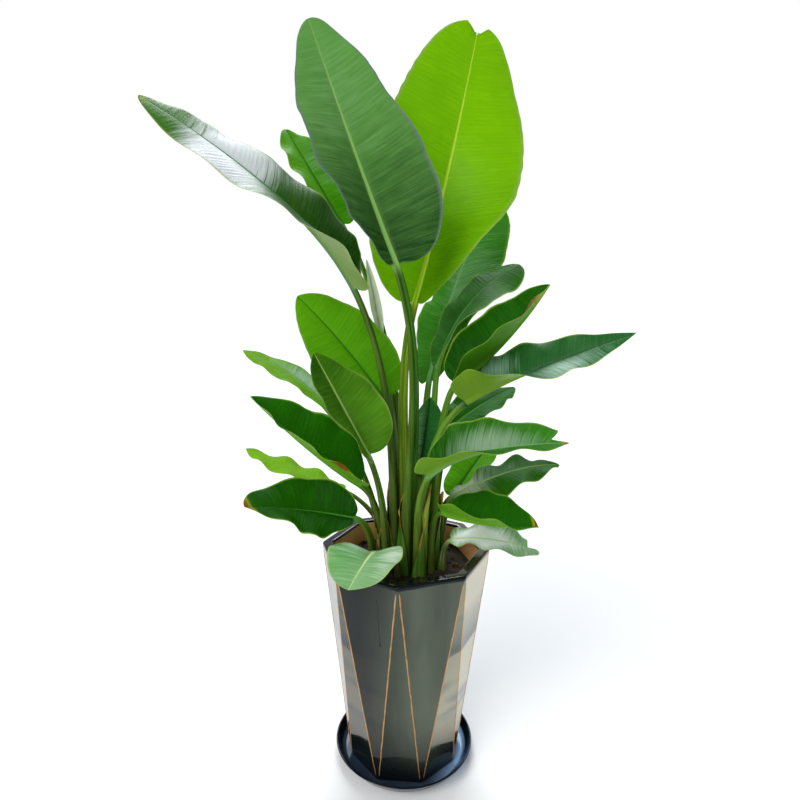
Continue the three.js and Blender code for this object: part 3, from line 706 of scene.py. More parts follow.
@dataclass
class Planter:
    """Tall planter: eight rim corners above eight base corners set half a step round, so its
    sides are tall facets that point up and down by turns. Every corner is slightly blunt."""

    corners: int = 8
    turn: float = -4.4  # how far the first rim corner is turned from the front
    rim_radius: float = 0.181  # from the axis to a rim corner
    base_radius: float = 0.124
    rim_blunt: float = 0.0044  # width of the flat that blunts a corner
    base_blunt: float = 0.006
    rim_height: float = 0.5
    bevel: float = 0.005  # radius of the lip's two edges
    lip_width: float = 0.024
    base_wall: float = 0.017  # thickness of the wall at the base
    foot: float = 0.0053  # height of the underside, which stands in the saucer
    floor: float = 0.014  # thickness of the floor
    ridge_round: float = 0.0017
    line_width: float = 0.0028
    line_rise: float = 0.0005
    line_ends: tuple[float, float] = (0.018, 0.985)  # shares of the ridge where its line ends
    line_wander: float = 0.00022  # how far a line strays from its ridge
    line_uneven: float = 0.14  # how much its width varies
    drain: float = 0.009  # radius of the hole in the floor
    run: tuple[Triple, Triple] = (  # ends of a run of glaze
        (-0.0535, -0.157, 0.462), (-0.0483, -0.1499, 0.353))
    glaze: BlackGlaze = field(default_factory=BlackGlaze)
    pooled: BlackGlaze = field(default_factory=lambda: BlackGlaze(
        name="pooled_black_glaze", foot=NOWHERE, body=NOWHERE + 1))
    lustre: GoldLustre = field(default_factory=GoldLustre)
    clay: BareClay = field(default_factory=BareClay)

    def ring(self, radius: float, blunt: float, at_rim: bool, height: float) -> Ring:
        """Sixteen points round the planter, two for each blunt corner.

        Args:
            radius: Distance of the corners from the axis.
            blunt: Width of the flattened corner.
            at_rim: Whether the corners are the rim's or the base's.
            height: Height of the ring.

        Returns:
            The points. Point i of a rim ring and of a base ring are the ends of one ridge.
        """
        step = 360 / self.corners
        spread = math.asin(blunt / 2 / radius)
        points = []
        for i in range(self.corners * 2):
            corner = i // 2 if at_rim else (i - 1) // 2 + 0.5
            first = (i % 2 == 0) == at_rim
            angle = math.radians(self.turn + corner * step) + (-spread if first else spread)
            points.append(Vector((radius * math.sin(angle), -radius * math.cos(angle), height)))
        return points

    def inner_outline(self, height: float, steps: int) -> np.ndarray:
        """Outline of the inside at a height, seen from above.

        Args:
            height: Height of the outline.
            steps: Points along each side.

        Returns:
            The points, shape (sides * steps, 2).
        """
        bottom, top = self.foot + self.floor, self.rim_height - self.bevel
        low = self.ring(self.base_radius - self.base_wall, self.base_blunt, False, bottom)
        high = self.ring(self.rim_radius - self.lip_width, self.rim_blunt, True, top)
        share = (height - bottom) / (top - bottom)
        corners = [a.lerp(b, share) for a, b in zip(low, high)]
        points = [a.lerp(b, k / steps)[:2] for a, b in zip(corners, corners[1:] + corners[:1])
                  for k in range(steps)]
        return np.array(points)

    def build_body(self) -> bpy.types.Object:
        """Model the glazed shell: raise it, turn it over the lip, and sink the inside."""
        top = self.rim_height
        form = RingForm(self.ring(self.base_radius - 2 * MM, self.base_blunt, False, self.foot),
                        self.ring(self.base_radius, self.base_blunt, False, self.foot + 2 * MM))
        mouth = self.rim_radius - self.lip_width
        for edge, way, turns in ((self.rim_radius, -1, (0, 30, 60, 90)), (mouth, 1, (90, 60, 30, 0))):
            for turn in turns:
                inset, sink = (self.bevel * (1 - f(math.radians(turn))) for f in (math.cos, math.sin))
                form.extrude(self.ring(edge + way * inset, self.rim_blunt, True, top - sink))
        bottom = self.foot + self.floor
        form.extrude(self.ring(self.base_radius - self.base_wall, self.base_blunt, False, bottom))
        piece = form.piece
        bpy.ops.mesh.primitive_cylinder_add(vertices=32, radius=self.drain, depth=0.08)
        drill = bpy.context.object
        apply_modifier(piece, "BOOLEAN", operation="DIFFERENCE", object=drill, solver="EXACT")
        bpy.data.objects.remove(drill)
        self.glaze.dress(piece)
        piece.data.materials.append(self.clay.material())
        for face in piece.data.polygons:
            outward = face.normal.x * face.center.x + face.normal.y * face.center.y
            inside = outward < 0 and face.center.z < top - self.bevel * 1.2
            is_floor = abs(face.center.z - bottom) < MM and face.normal.z > 0.9
            face.material_index = int(inside or is_floor)
        apply_modifier(piece, "BEVEL", width=self.ridge_round, segments=3, limit_method="ANGLE",
                       angle_limit=math.radians(8), harden_normals=True)
        only(piece)
        bpy.ops.object.shade_smooth()
        apply_modifier(piece, "WEIGHTED_NORMAL", keep_sharp=True, weight=100)
        return settle(piece, "glazed_planter", "black_glaze", "pot")

    def build_run(self, body: bpy.types.Object) -> bpy.types.Object:
        """Model the thin run of pooled glaze down one facet, with the drop that it ends in.

        Args:
            body: The finished planter, which the run lies on.

        Returns:
            The run.
        """
        t = np.linspace(0, 1, 60)
        start, end = (np.array(point) for point in self.run)
        out = unit(start * (1, 1, 0))
        middle = []
        for point in start + t[:, None] * (end - start):
            _, place, normal, _ = body.ray_cast(Vector(point + 0.05 * out), Vector(-out))
            middle.append(np.array(place))
        middle = np.array(middle)
        out = np.array(normal)
        across = np.cross(unit(middle[-1] - middle[0]), out)
        wander, sunk = 0.0003 * ripple(t * 3, 12), 0.0002
        middle = middle + across * wander[:, None] - out * sunk
        drop = 0.0012 * np.exp(-((t - 0.965) / 0.028) ** 2)
        ends = np.sqrt(np.clip(np.minimum(t, 1 - t) * 60, 0.0004, 1))
        half = (0.0006 + 0.0003 * t + drop) * ends
        piece = bead(middle, across, out, half, 0.7 * half, 12)
        smooth(piece, 60)
        self.pooled.dress(piece)
        return settle(piece, "glaze_run", "black_glaze")

    def build_lines(self) -> bpy.types.Object:
        """Model the lustre lines: a low hand-drawn bead along each of the sixteen ridges."""
        rim = self.ring(self.rim_radius, self.rim_blunt, True, self.rim_height - self.bevel)
        base = self.ring(self.base_radius, self.base_blunt, False, self.foot + 2 * MM)
        t, sunk = np.linspace(0, 1, 60), 0.0003
        beads = []
        for i, (high, low) in enumerate(zip(rim, base)):
            start, end = (high.lerp(low, share) for share in self.line_ends)
            along = unit(np.array(end - start))
            out = squared(np.array((high + low) / 2) * (1, 1, 0), along)
            across = np.cross(along, out)
            middle = np.array(start) + t[:, None] * np.array(end - start)
            wander = self.line_wander * ripple(t * 9, 40 + i)
            middle = middle + across * wander[:, None] - out * sunk
            taper = np.sqrt(np.clip(np.minimum(t, 1 - t) * 40, 0.02, 1))
            half = self.line_width / 2 * taper * (1 + self.line_uneven * ripple(t * 14, 70 + i))
            rise = (self.line_rise + sunk) * taper
            beads.append(bead(middle, across, out, half, rise, 10))
        piece = join(beads)
        smooth(piece, 60)
        self.lustre.dress(piece)
        return settle(piece, "gold_ridge_lines", "gold_lustre")


@dataclass
class Soil:
    """Potting mix that nearly fills the planter, with crumbs and chips of bark on top."""

    level: float = 0.452  # height of its surface at the wall
    crown: float = 0.009  # how much higher it is in the middle
    depth: float = 0.03  # how much of it is modelled, out of sight below
    slope: float = 0.42  # share of the way in from the wall where it rises to the crown
    lump: float = 0.0024  # height of its lumps
    crumb: float = 0.0013  # height of its crumbs
    rings: int = 64
    steps: int = 20  # points along each of the planter's sixteen sides
    chips: int = 190
    chip_length: tuple[float, float] = (0.003, 0.0095)  # half length of the smallest and the largest
    planter: Planter = field(default_factory=Planter)
    mix_finish: PottingMix = field(default_factory=PottingMix)
    bark_finish: PottingMix = field(default_factory=lambda: PottingMix(
        name="shredded_bark", damp="#1c1109", dry="#4c331e", crumb=0.004))

    def height(self, place: np.ndarray, share: np.ndarray) -> np.ndarray:
        """Height of the soil's surface, with its crown, hollows and crumbs.

        Args:
            place: Points on the surface, seen from above, shape (..., 2).
            share: How far out each point is, 1 at the wall.

        Returns:
            The height at each point.
        """
        x, y = place[..., 0], place[..., 1]
        crown = self.crown * ease((1 - share) / self.slope)
        lumps = self.lump * ripple(x * 22, 3) * ripple(y * 22, 4)
        crumbs = self.crumb * ripple(x * 120 + 3 * ripple(y * 40, 7), 5) * ripple(y * 120, 6)
        return self.level + crown + (lumps + crumbs) * np.clip((1 - share) * 12, 0, 1)

    def build_body(self) -> bpy.types.Object:
        """Model the soil: rings from the middle out to the wall, then down and back below."""
        rim = self.planter.inner_outline(self.level, self.steps)
        foot = self.planter.inner_outline(self.level - self.depth, self.steps)
        share = np.linspace(0.004, 1, self.rings)[:, None, None]
        top = share * rim[None]
        top = np.dstack([top, self.height(top, share[..., 0])])
        low = share[::-8] * foot[None]
        low = np.dstack([low, np.full(low.shape[:2], self.level - self.depth)])
        piece = skin(np.concatenate([top, low]))
        smooth(piece, 60)
        self.mix_finish.dress(piece)
        return settle(piece, "potting_mix", "potting_soil", "soil")

    def build_chips(self) -> bpy.types.Object:
        """Scatter copies of one bark chip over the soil and join them."""
        rng = np.random.default_rng(11)
        bpy.ops.mesh.primitive_ico_sphere_add(subdivisions=2, radius=1)
        model = bpy.context.object
        for vertex in model.data.vertices:
            vertex.co = vertex.co * rng.uniform(0.8, 1.1)
        rim = self.planter.inner_outline(self.level, self.steps)
        chips = []
        for _ in range(self.chips):
            chip = model.copy()
            chip.data = model.data.copy()
            bpy.context.collection.objects.link(chip)
            share = math.sqrt(rng.uniform(0.02, 0.9))
            place = rim[rng.integers(len(rim))] * share
            z = float(self.height(place, np.array(share)))
            long = rng.uniform(*self.chip_length)
            size = Vector((long, long * rng.uniform(0.3, 0.7), long * rng.uniform(0.15, 0.4)))
            turn = Matrix.Rotation(rng.uniform(0, 2 * math.pi), 4, "Z")
            tip = Matrix.Rotation(rng.uniform(-0.5, 0.5), 4, "X")
            chip.matrix_world = (Matrix.Translation((*place, z + size.z * 0.4)) @ turn @ tip
                                 @ Matrix.Diagonal((*size, 1)))
            chips.append(chip)
        bpy.data.objects.remove(model)
        piece = join(chips)
        self.bark_finish.dress(piece)
        return settle(piece, "bark_chips", "potting_soil")


# ---------------------------------------------------------------- leaves


class Side(Enum):
    """The two halves of a blade, seen from above with the tip away."""

    LEFT = -1
    RIGHT = 1

    @property
    def index(self) -> int:
        """Place of this half in a (left, right) pair."""
        return 0 if self is Side.LEFT else 1


@dataclass(frozen=True)
class Tear:
    """A half that is torn off: past `at` only the share `keep` of its width is left, and the
    margin reaches `point` further ahead before it."""

    side: int
    at: float
    keep: float
    run: float = 0.014
    point: float = 0.0


@dataclass(frozen=True)
class Blemish:
    """A browned, yellowed or waxy patch of the blade, at a share of its length and of its half;
    in a waxy one the sky's glare is painted over the bloom.
    """

    at: float
    across: float
    reach: tuple[float, float]
    brown: float = 0.0
    yellow: float = 0.0
    # waxy bloom with painted glare of the sky
    bloom_and_glare: float = 0.0


@dataclass(frozen=True)
class BladeForm:
    """What all blades share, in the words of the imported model's leaves."""

    thickness: float = 0.0009
    rib_tip: float = 0.0010  # half width of the midrib at the tip
    sweep: float = 0.091  # how far a vein gets towards the tip, as a share of the length
    sweep_fade: float = 0.3
    vein_bend: float = 1.2  # how late on its way it turns towards the tip
    lobe: float = 0.03  # how far the basal lobes reach back, as such a share
    lobe_fade: float = 6.0
    wave_fade: float = 1.3
    other_half: float = 2.1  # how far the right half's waves are out of step with the left's
    curl: float = -14.0  # how the slope of a half changes out to its margin
    base: float = 0.02  # where the basal lobes are fully wide
    base_dip: float = 0.014  # how far their edge bows back
    station: float = 0.0025  # spacing of cross-sections along the blade
    last: float = 0.985  # where they begin to stand closer
    uneven: float = 0.004  # how uneven the margin is, as a share of the half width
    nick: float = 0.03  # length of that unevenness
    ruffle: float = 0.05  # length of the margin's small waves
    cove: float = 1.6  # midrib half widths from its middle to where the blade's own slope begins
    foot_height: float = 0.465  # where a stalk starts to lean
    sunk: float = 0.03  # how far it reaches down into the soil from there
    stalk_depth: float = 0.8  # its thickness as a share of its width
    stalk_pull: float = 0.38  # how long it stays upright, as a share of its rise
    swell_height: float = 0.24  # how far up its thick, clasping foot reaches
    pleat: float = 0.0085  # spacing of the pleats along the veins


FORM = BladeForm()
INNER_SHARE = 0.6  # share of a half's columns that stand on the midrib
INNER_COLUMNS = (0.0, 0.15, 0.3, 0.42, 0.52, INNER_SHARE)
OUTER_COLUMNS = tuple(np.linspace(INNER_SHARE, 1.0, 15)[1:])
HALF_COLUMNS = np.array(INNER_COLUMNS + OUTER_COLUMNS)
COLUMNS = np.concatenate([-HALF_COLUMNS[:0:-1], HALF_COLUMNS])


@dataclass
class Leaf:
    """One leaf: a channelled stalk that runs into the midrib of a paddle-shaped blade."""

    node: str
    tissue: LeafTissue
    slot: str
    root: tuple[float, float]  # where it leaves the soil
    joint: Triple  # where the stalk ends and the blade begins
    tip: Triple
    face: Triple  # the way its upper face looks
    width: float
    bow: Triple = (0.0, 0.0, 0.0)  # how far the midrib's middle is off the straight line
    fold: tuple[float, float] = (22, 22)  # how steep the left and the right half rise at the base
    fold_tip: tuple[float, float] = (12, 12)
    twist: float = 0.0  # how far the blade is twisted by its tip
    wave: Triple = (0.004, 3.0, 0.0)  # height, number and phase of the margin's large waves
    shape: tuple[float, float] = (0.42, 0.62)  # bluntness of base and tip, less is blunter
    half: tuple[float, float] = (1.0, 1.0)  # shares of the half width that left and right have
    stalk: tuple[float, float] = (0.011, 0.007)  # its half width at the soil and at the joint
    lean: float = 0.3  # share of the stalk's rise where it already points along the midrib
    tears: tuple[Tear, ...] = ()
    blemishes: tuple[Blemish, ...] = ()
    tip_lobes: tuple[float, float] = (0.0, 0.0)  # how far each half reaches past the midrib's end
    tip_notch: float = 0.0  # how far the midrib's end falls short
    tip_age: tuple[float, float] = (0.0, 0.15)  # how browned and how yellowed the tip is
    pleats: float = 0.00045  # height of the pleats
    ruffle: float = 0.0012  # height of the margin's small waves
    tone_and_painted_light: tuple[float, float, float, float] = (0.0, 0.0, 0.2, 0.2)  # base left, right, tip left, right: partly the leaf's own tone, partly painted light and shade
    swell: float = 0.3  # how much thicker the clasping foot of the stalk is
    rib_show: float = 0.72  # share of the midrib that has its own colour

    def __post_init__(self) -> None:
        """Work out vectors, seed and length from the table's plain values."""
        self.start = np.array(self.joint)
        self.end = np.array(self.tip)
        self.bend = (self.start + self.end) / 2 + 2 * np.array(self.bow)
        self.look = unit(np.array(self.face, dtype=float))
        self.foot = np.array([*self.root, FORM.foot_height])
        self.seed = sum(ord(letter) * (i + 3) for i, letter in enumerate(self.node))
        share = np.linspace(0, 1, 60)
        self.length = float(np.linalg.norm(np.diff(self.midrib(share)[0], axis=0), axis=1).sum())

    def midrib(self, a: np.ndarray) -> tuple[np.ndarray, np.ndarray]:
        """The midrib's points and unit directions at shares a of the blade."""
        t = np.clip(a, 0, 1)[..., None]
        point = (1 - t) ** 2 * self.start + 2 * t * (1 - t) * self.bend + t * t * self.end
        run = 2 * (1 - t) * (self.bend - self.start) + 2 * t * (self.end - self.bend)
        return point + (a[..., None] - t) * run, unit(run)

    def rib(self, u: np.ndarray) -> np.ndarray:
        """Half width of the midrib."""
        return mix(self.stalk[1], FORM.rib_tip, np.clip(u, 0, 1) ** 0.7)

    def margin(self, u: np.ndarray) -> np.ndarray:
        """Where the vein that leaves the midrib at u meets the margin."""
        sweep = FORM.sweep * np.sin(np.pi * u) * (1 - u) ** FORM.sweep_fade
        return u + sweep - FORM.lobe * (1 - u) ** FORM.lobe_fade

    def outline(self, u: np.ndarray) -> np.ndarray:
        """Share of the greatest half width that the vein at u reaches."""
        base, tip = self.shape
        widest = base / (base + tip)
        t = np.clip((self.margin(u) + FORM.lobe) / (1 + FORM.lobe), 0, 1)
        return (t / widest) ** base * ((1 - t) / (1 - widest)) ** tip

    def half_width(self, u: np.ndarray, side: Side) -> np.ndarray:
        """Width of one half at the veins u, with its tears and uneven edge."""
        width = self.width / 2 * self.outline(u) * self.half[side.index]
        for tear in self.tears:
            if tear.side == side.value:
                width = width * tear.keep ** ease((u - tear.at) / tear.run)
        nicks = ripple(u * self.length / FORM.nick, self.seed + side.index)
        return width * (1 + FORM.uneven * nicks)

    def stations(self) -> np.ndarray:
        """Shares of the length where cross-sections stand, closer at lobes, tip and tears."""
        even = np.linspace(FORM.base, FORM.last, int(self.length / FORM.station))
        lobes = np.linspace(0, FORM.base, 9)[:-1]
        tip = 1 - (1 - FORM.last) * (1 - np.linspace(0, 1, 9)[1:]) ** 2
        extra = [tear.at + tear.run * k for tear in self.tears for k in (0, 0.25, 0.5, 0.75, 1)]
        merged = np.unique(np.concatenate([lobes, even, tip, np.array(extra)]))
        return merged[np.concatenate([[True], np.diff(merged) > 1e-5])]

    def section(self, rib: np.ndarray, across: np.ndarray, cover: np.ndarray, crest: np.ndarray,
                keel: np.ndarray, groove: np.ndarray) -> tuple[np.ndarray, np.ndarray]:
        """Heights of the upper and lower face over the middle surface.

        Args:
            rib: Half width of the midrib or stalk.
            across: Distance from its middle.
            cover: Share of the half's width, 1 at the margin.
            crest: How far the upper face stands up in the middle, as a share of rib.
            keel: The same below.
            groove: Depth of the channel along the top, as a share of rib.

        Returns:
            Height of the upper face, and of the lower face.
        """
        place = np.clip(across / rib, 0, 1)
        dome = np.sqrt(1 - place ** 2)
        skin_half = FORM.thickness / 2 * (1 - 0.5 * ease((cover - 0.88) / 0.12))
        upper = np.maximum(skin_half, crest * rib * dome)
        upper = upper - groove * rib * np.exp(-(place / 0.45) ** 2) * dome
        return upper, -np.maximum(skin_half, keel * rib * dome)

    def fan(self, axis: tuple[np.ndarray, np.ndarray, np.ndarray], side: np.ndarray, reach: np.ndarray,
            rib: np.ndarray, cover: np.ndarray, fold: np.ndarray, ramp: np.ndarray | float = 1.0,
            wave: np.ndarray | float = 0.0) -> tuple[np.ndarray, np.ndarray]:
        """Middle surface of the leaf and its unit normals.

        Args:
            axis: Points of the midrib, and unit vectors to the right of it and up from it.
            side: -1 on the left and 1 on the right.
            reach: Distance from the midrib's middle.
            rib: Half width of the midrib.
            cover: Share of the half's width, 1 at the margin.
            fold: How steep the half rises.
            ramp: Share of that slope that is reached.
            wave: How far the margin's waves lift the surface.

        Returns:
            The points and the normals.
        """
        centre, out, up = axis
        cove = ease(reach / rib / FORM.cove)
        tilt = np.radians(fold + FORM.curl * cover / 2) * cove * ramp
        lift = np.radians(fold + FORM.curl * cover) * cove * ramp
        middle = (centre + out * (side * (reach * np.cos(tilt) - wave * np.sin(lift)))[..., None]
                  + up * (reach * np.sin(tilt) + wave * np.cos(lift))[..., None])
        return middle, up * np.cos(lift)[..., None] - out * (side * np.sin(lift))[..., None]

    @property
    def rise(self) -> float:
        """Straight distance from where the stalk starts to lean to the joint."""
        return float(np.linalg.norm(self.start - self.foot))

    def stalk_path(self, t: np.ndarray) -> tuple[np.ndarray, np.ndarray, np.ndarray, np.ndarray]:
        """The stalk's axis, direction, front and half width at shares t of its rise.

        Args:
            t: Shares from 0 at the foot to 1 at the joint; below 0 it goes straight down.

        Returns:
            Points, unit directions, unit vectors to the channelled side, and half widths.
        """
        c = np.clip(t, 0, 1)[:, None]
        along0 = self.midrib(np.array([0.0]))[1][0]
        low = self.foot + np.array([0, 0, FORM.stalk_pull * self.rise])
        high = self.start - along0 * self.lean * self.rise
        p = [self.foot, low, high, self.start]
        centre = ((1 - c) ** 3 * p[0] + 3 * c * (1 - c) ** 2 * p[1] + 3 * c * c * (1 - c) * p[2]
                  + c ** 3 * p[3])
        centre = centre + np.minimum(t, 0)[:, None] * np.array([0, 0, self.rise])
        along = unit(3 * (1 - c) ** 2 * (p[1] - p[0]) + 6 * c * (1 - c) * (p[2] - p[1])
                     + 3 * c * c * (p[3] - p[2]))
        away = (self.start - self.foot) * (1, 1, 0)
        away = unit(away) if np.linalg.norm(away) > 0.02 else np.zeros(3)
        front = self.look * (1, 1, 0) - 0.6 * away
        front = unit(front) if np.linalg.norm(front) > 0.2 else -away
        up = squared(mix(front, squared(self.look, along0), c), along)
        rib = mix(self.stalk[0], self.stalk[1], np.minimum(1, c[:, 0] * 1.25) ** 0.8)
        swell = 1 + self.swell * np.exp(-np.maximum(t, 0) * self.rise / FORM.swell_height) * (1 - c[:, 0])
        return centre, along, up, rib * swell

    def stalk_rows(self) -> dict[str, np.ndarray]:
        """Cross-sections of the stalk from the soil to the joint."""
        rise = self.rise
        t = np.concatenate([[-FORM.sunk / rise], np.linspace(0, 1, max(16, int(rise / 0.01)))[:-1]])
        centre, along, up, rib = self.stalk_path(t)
        out = np.cross(along, up)
        rib = rib[:, None]
        reach = rib * np.abs(COLUMNS)
        side = np.where(COLUMNS < 0, -1, 1)
        fold = np.where(COLUMNS < 0, *self.fold)
        ramp = ease((t - 0.8) / 0.2)[:, None]
        upper, lower = self.section(rib, reach, np.zeros_like(reach), FORM.stalk_depth,
                                    FORM.stalk_depth, mix(0.2, 0.5, t[:, None]))
        axis = (centre[:, None], out[:, None], up[:, None])
        middle, normal = self.fan(axis, side, reach, rib, np.abs(COLUMNS), fold, ramp)
        distance = rise * (1 - t)
        return {
            "upper": middle + normal * upper[..., None],
            "lower": middle + normal * lower[..., None],
            "along": np.repeat(-distance[:, None], len(COLUMNS), axis=1),
            "across": side * reach,
            "rib": np.ones_like(reach),
            "margin": np.repeat(ease((np.abs(COLUMNS) - 0.7) / 0.3)[None, :], len(t), axis=0),
            **dict.fromkeys(("tone_and_painted_light", "brown", "yellow", "bloom_and_glare"), np.zeros_like(reach)),
        }

    def blade_rows(self) -> dict[str, np.ndarray]:
        """Cross-sections of the blade from the joint to the tip, each along a pair of veins."""
        u = self.stations()
        rib = self.rib(u)
        base = np.array([FORM.base])
        grown = np.clip(u / FORM.base, 0, 1)
        widths = []
        for side in Side:
            full = float(self.half_width(base, side)[0])
            growing = self.stalk[1] + (full - self.stalk[1]) * grown
            widths.append(np.where(u < FORM.base, growing, np.maximum(self.half_width(u, side), rib)))
        meets = np.where(u < FORM.base,
                         grown * self.margin(base)[0] - FORM.base_dip * np.sin(np.pi * grown),
                         self.margin(u))
        left = COLUMNS[None, :] < 0
        side = np.where(left, -1, 1)
        width = np.where(left, widths[0][:, None], widths[1][:, None])
        rib = rib[:, None]
        inner = np.minimum(rib, INNER_SHARE * width)
        share = np.abs(COLUMNS)[None, :]
        reach = np.where(share <= INNER_SHARE, share / INNER_SHARE * inner,
                         inner + (share - INNER_SHARE) / (1 - INNER_SHARE) * (width - inner))
        cover = np.clip(reach / width, 0, 1)
        u = u[:, None]
        a = u + (meets[:, None] - u) * cover ** FORM.vein_bend
        rise = ease((u - 0.8) / 0.19) * (1 - ease((u - 0.996) / 0.004))
        a = a + np.where(left, *self.tip_lobes) * rise * np.sqrt(cover)
        a = a - self.tip_notch * ease((u - 0.82) / 0.18) * (1 - 0.4 * cover)
        for tear in self.tears:
            near = ease((u - tear.at + 0.25) / 0.25) * (1 - ease((u - tear.at) / tear.run))
            a = a + tear.point * near * cover * (side == tear.side)
        centre, along = self.midrib(a)
        level = squared(self.look, along)
        turn = (math.radians(self.twist) * np.clip(a, 0, 1))[..., None]
        up = level * np.cos(turn) + np.cross(along, level) * np.sin(turn)
        out = np.cross(along, up)
        fold = mix(np.where(left, *self.fold), np.where(left, *self.fold_tip), ease(a))
        height, count, phase = self.wave
        beat = np.sin(2 * np.pi * count * a + phase + np.where(left, 0, FORM.other_half))
        full = self.outline(np.maximum(u, FORM.base))
        wave = height * cover ** 2 * beat * np.minimum(1, full * FORM.wave_fade)
        wave = wave * np.clip(u / FORM.base, 0, 1)
        small = np.where(left, *(ripple(a * self.length / FORM.ruffle, self.seed + k) for k in (5, 6)))
        wave = wave + self.ruffle * cover ** 4 * small * np.clip(u / FORM.base, 0, 1)
        middle, normal = self.fan((centre, out, up), side, reach, rib, cover, fold, wave=wave)
        pleats = self.pleat_height(u, cover, left) * ease((reach - rib) / 0.012)
        upper, lower = self.section(
            rib, reach, cover, mix(FORM.stalk_depth, 0.2, ease(u / 0.09)),
            mix(FORM.stalk_depth, 0.95, ease(u / 0.1)), mix(0.5, 0.16, ease(u / 0.1)))
        ribbed = 1 - ease((reach / rib - self.rib_show) / (0.5 * self.rib_show))
        ribbed = np.maximum(ribbed, 1 - ease(u / 0.012))
        to_right = ease(0.5 + side * cover * 2)
        # The leaf's own tone and its painted light and shade, blended between the blade's four corners.
        shade = mix(mix(self.tone_and_painted_light[0], self.tone_and_painted_light[1], to_right),
                    mix(self.tone_and_painted_light[2], self.tone_and_painted_light[3], to_right), ease(a))
        return {
            "upper": middle + normal * (upper + pleats)[..., None],
            "lower": middle + normal * (lower + pleats)[..., None],
            "along": self.vein_count(u, left) * FORM.pleat * np.ones_like(cover),
            "across": side * reach,
            "rib": ribbed,
            "tone_and_painted_light": shade,
            "margin": ease((cover - 0.955) / 0.04) * ease(u / 0.03),
            **dict(zip(("brown", "yellow", "bloom_and_glare"), self.aging(a, side * cover))),
        }

    def vein_count(self, u: np.ndarray, left: np.ndarray) -> np.ndarray:
        """Number of the main side vein at u, counted from the blade's foot."""
        even = u * self.length / FORM.pleat
        return even + 0.25 * ripple(even / 6, self.seed + 2) + np.where(left, 0.25, 0.45)

    def pleat_height(self, u: np.ndarray, cover: np.ndarray, left: np.ndarray) -> np.ndarray:
        """Height of the pleats that run along the side veins, stronger in some places."""
        phase = 2 * np.pi * self.vein_count(u, left)
        patch = 0.62 + 0.38 * ripple(u * 2.2 + np.where(left, 0.0, 2.0) + 0.35 * cover, self.seed + 3)
        fade = np.clip(cover * (1 - cover ** 3) * 2.2, 0, 1)
        return self.pleats * np.sin(phase) * np.clip(patch, 0.08, 1.3) * fade

    def aging(self, a: np.ndarray, cover: np.ndarray) -> tuple[np.ndarray, np.ndarray, np.ndarray]:
        """How browned and how yellowed each place of the blade is, and how much waxy bloom and painted
        glare it has.
        """
        brown = self.tip_age[0] * ease((a - 0.95) / 0.04)
        yellow = self.tip_age[1] * ease((a - 0.9) / 0.08)
        bloom_and_glare = np.zeros_like(brown)
        for mark in self.blemishes:
            spread = ((a - mark.at) / mark.reach[0]) ** 2 + ((cover - mark.across) / mark.reach[1]) ** 2
            patch = np.exp(-spread)
            brown = np.maximum(brown, mark.brown * patch)
            yellow = np.maximum(yellow, mark.yellow * patch)
            bloom_and_glare = np.maximum(bloom_and_glare, mark.bloom_and_glare * patch)
        return brown, yellow, bloom_and_glare

    def build(self) -> bpy.types.Object:
        """Model the leaf as one closed skin and dress it."""
        stalk, blade = self.stalk_rows(), self.blade_rows()
        rows = {key: np.concatenate([stalk[key], blade[key]]) for key in stalk}
        around = {key: np.concatenate([rows[key], rows[key][:, ::-1]], axis=1) for key in rows}
        points = np.concatenate([rows["upper"], rows["lower"][:, ::-1]], axis=1)
        below = np.concatenate([np.zeros_like(rows["rib"]), np.ones_like(rows["rib"])], axis=1)
        ones = np.ones_like(around["rib"])
        form = np.stack([around["rib"], below, around["tone_and_painted_light"] * 0.5 + 0.5, ones], axis=-1)
        age = np.stack([around[key] for key in ("brown", "yellow", "margin", "bloom_and_glare")], axis=-1)
        vein_map = np.stack([around["along"], around["across"]], axis=-1)
        piece = skin(points, {"form": form, "age": age}, vein_map)
        smooth(piece, 50)
        self.tissue.dress(piece)
        return settle(piece, self.node.removeprefix("leaf_") + "_leaf", self.slot, self.node)


BELOW_BLADE = 0.5  # how far back from the blade's foot a sheath's vein map begins


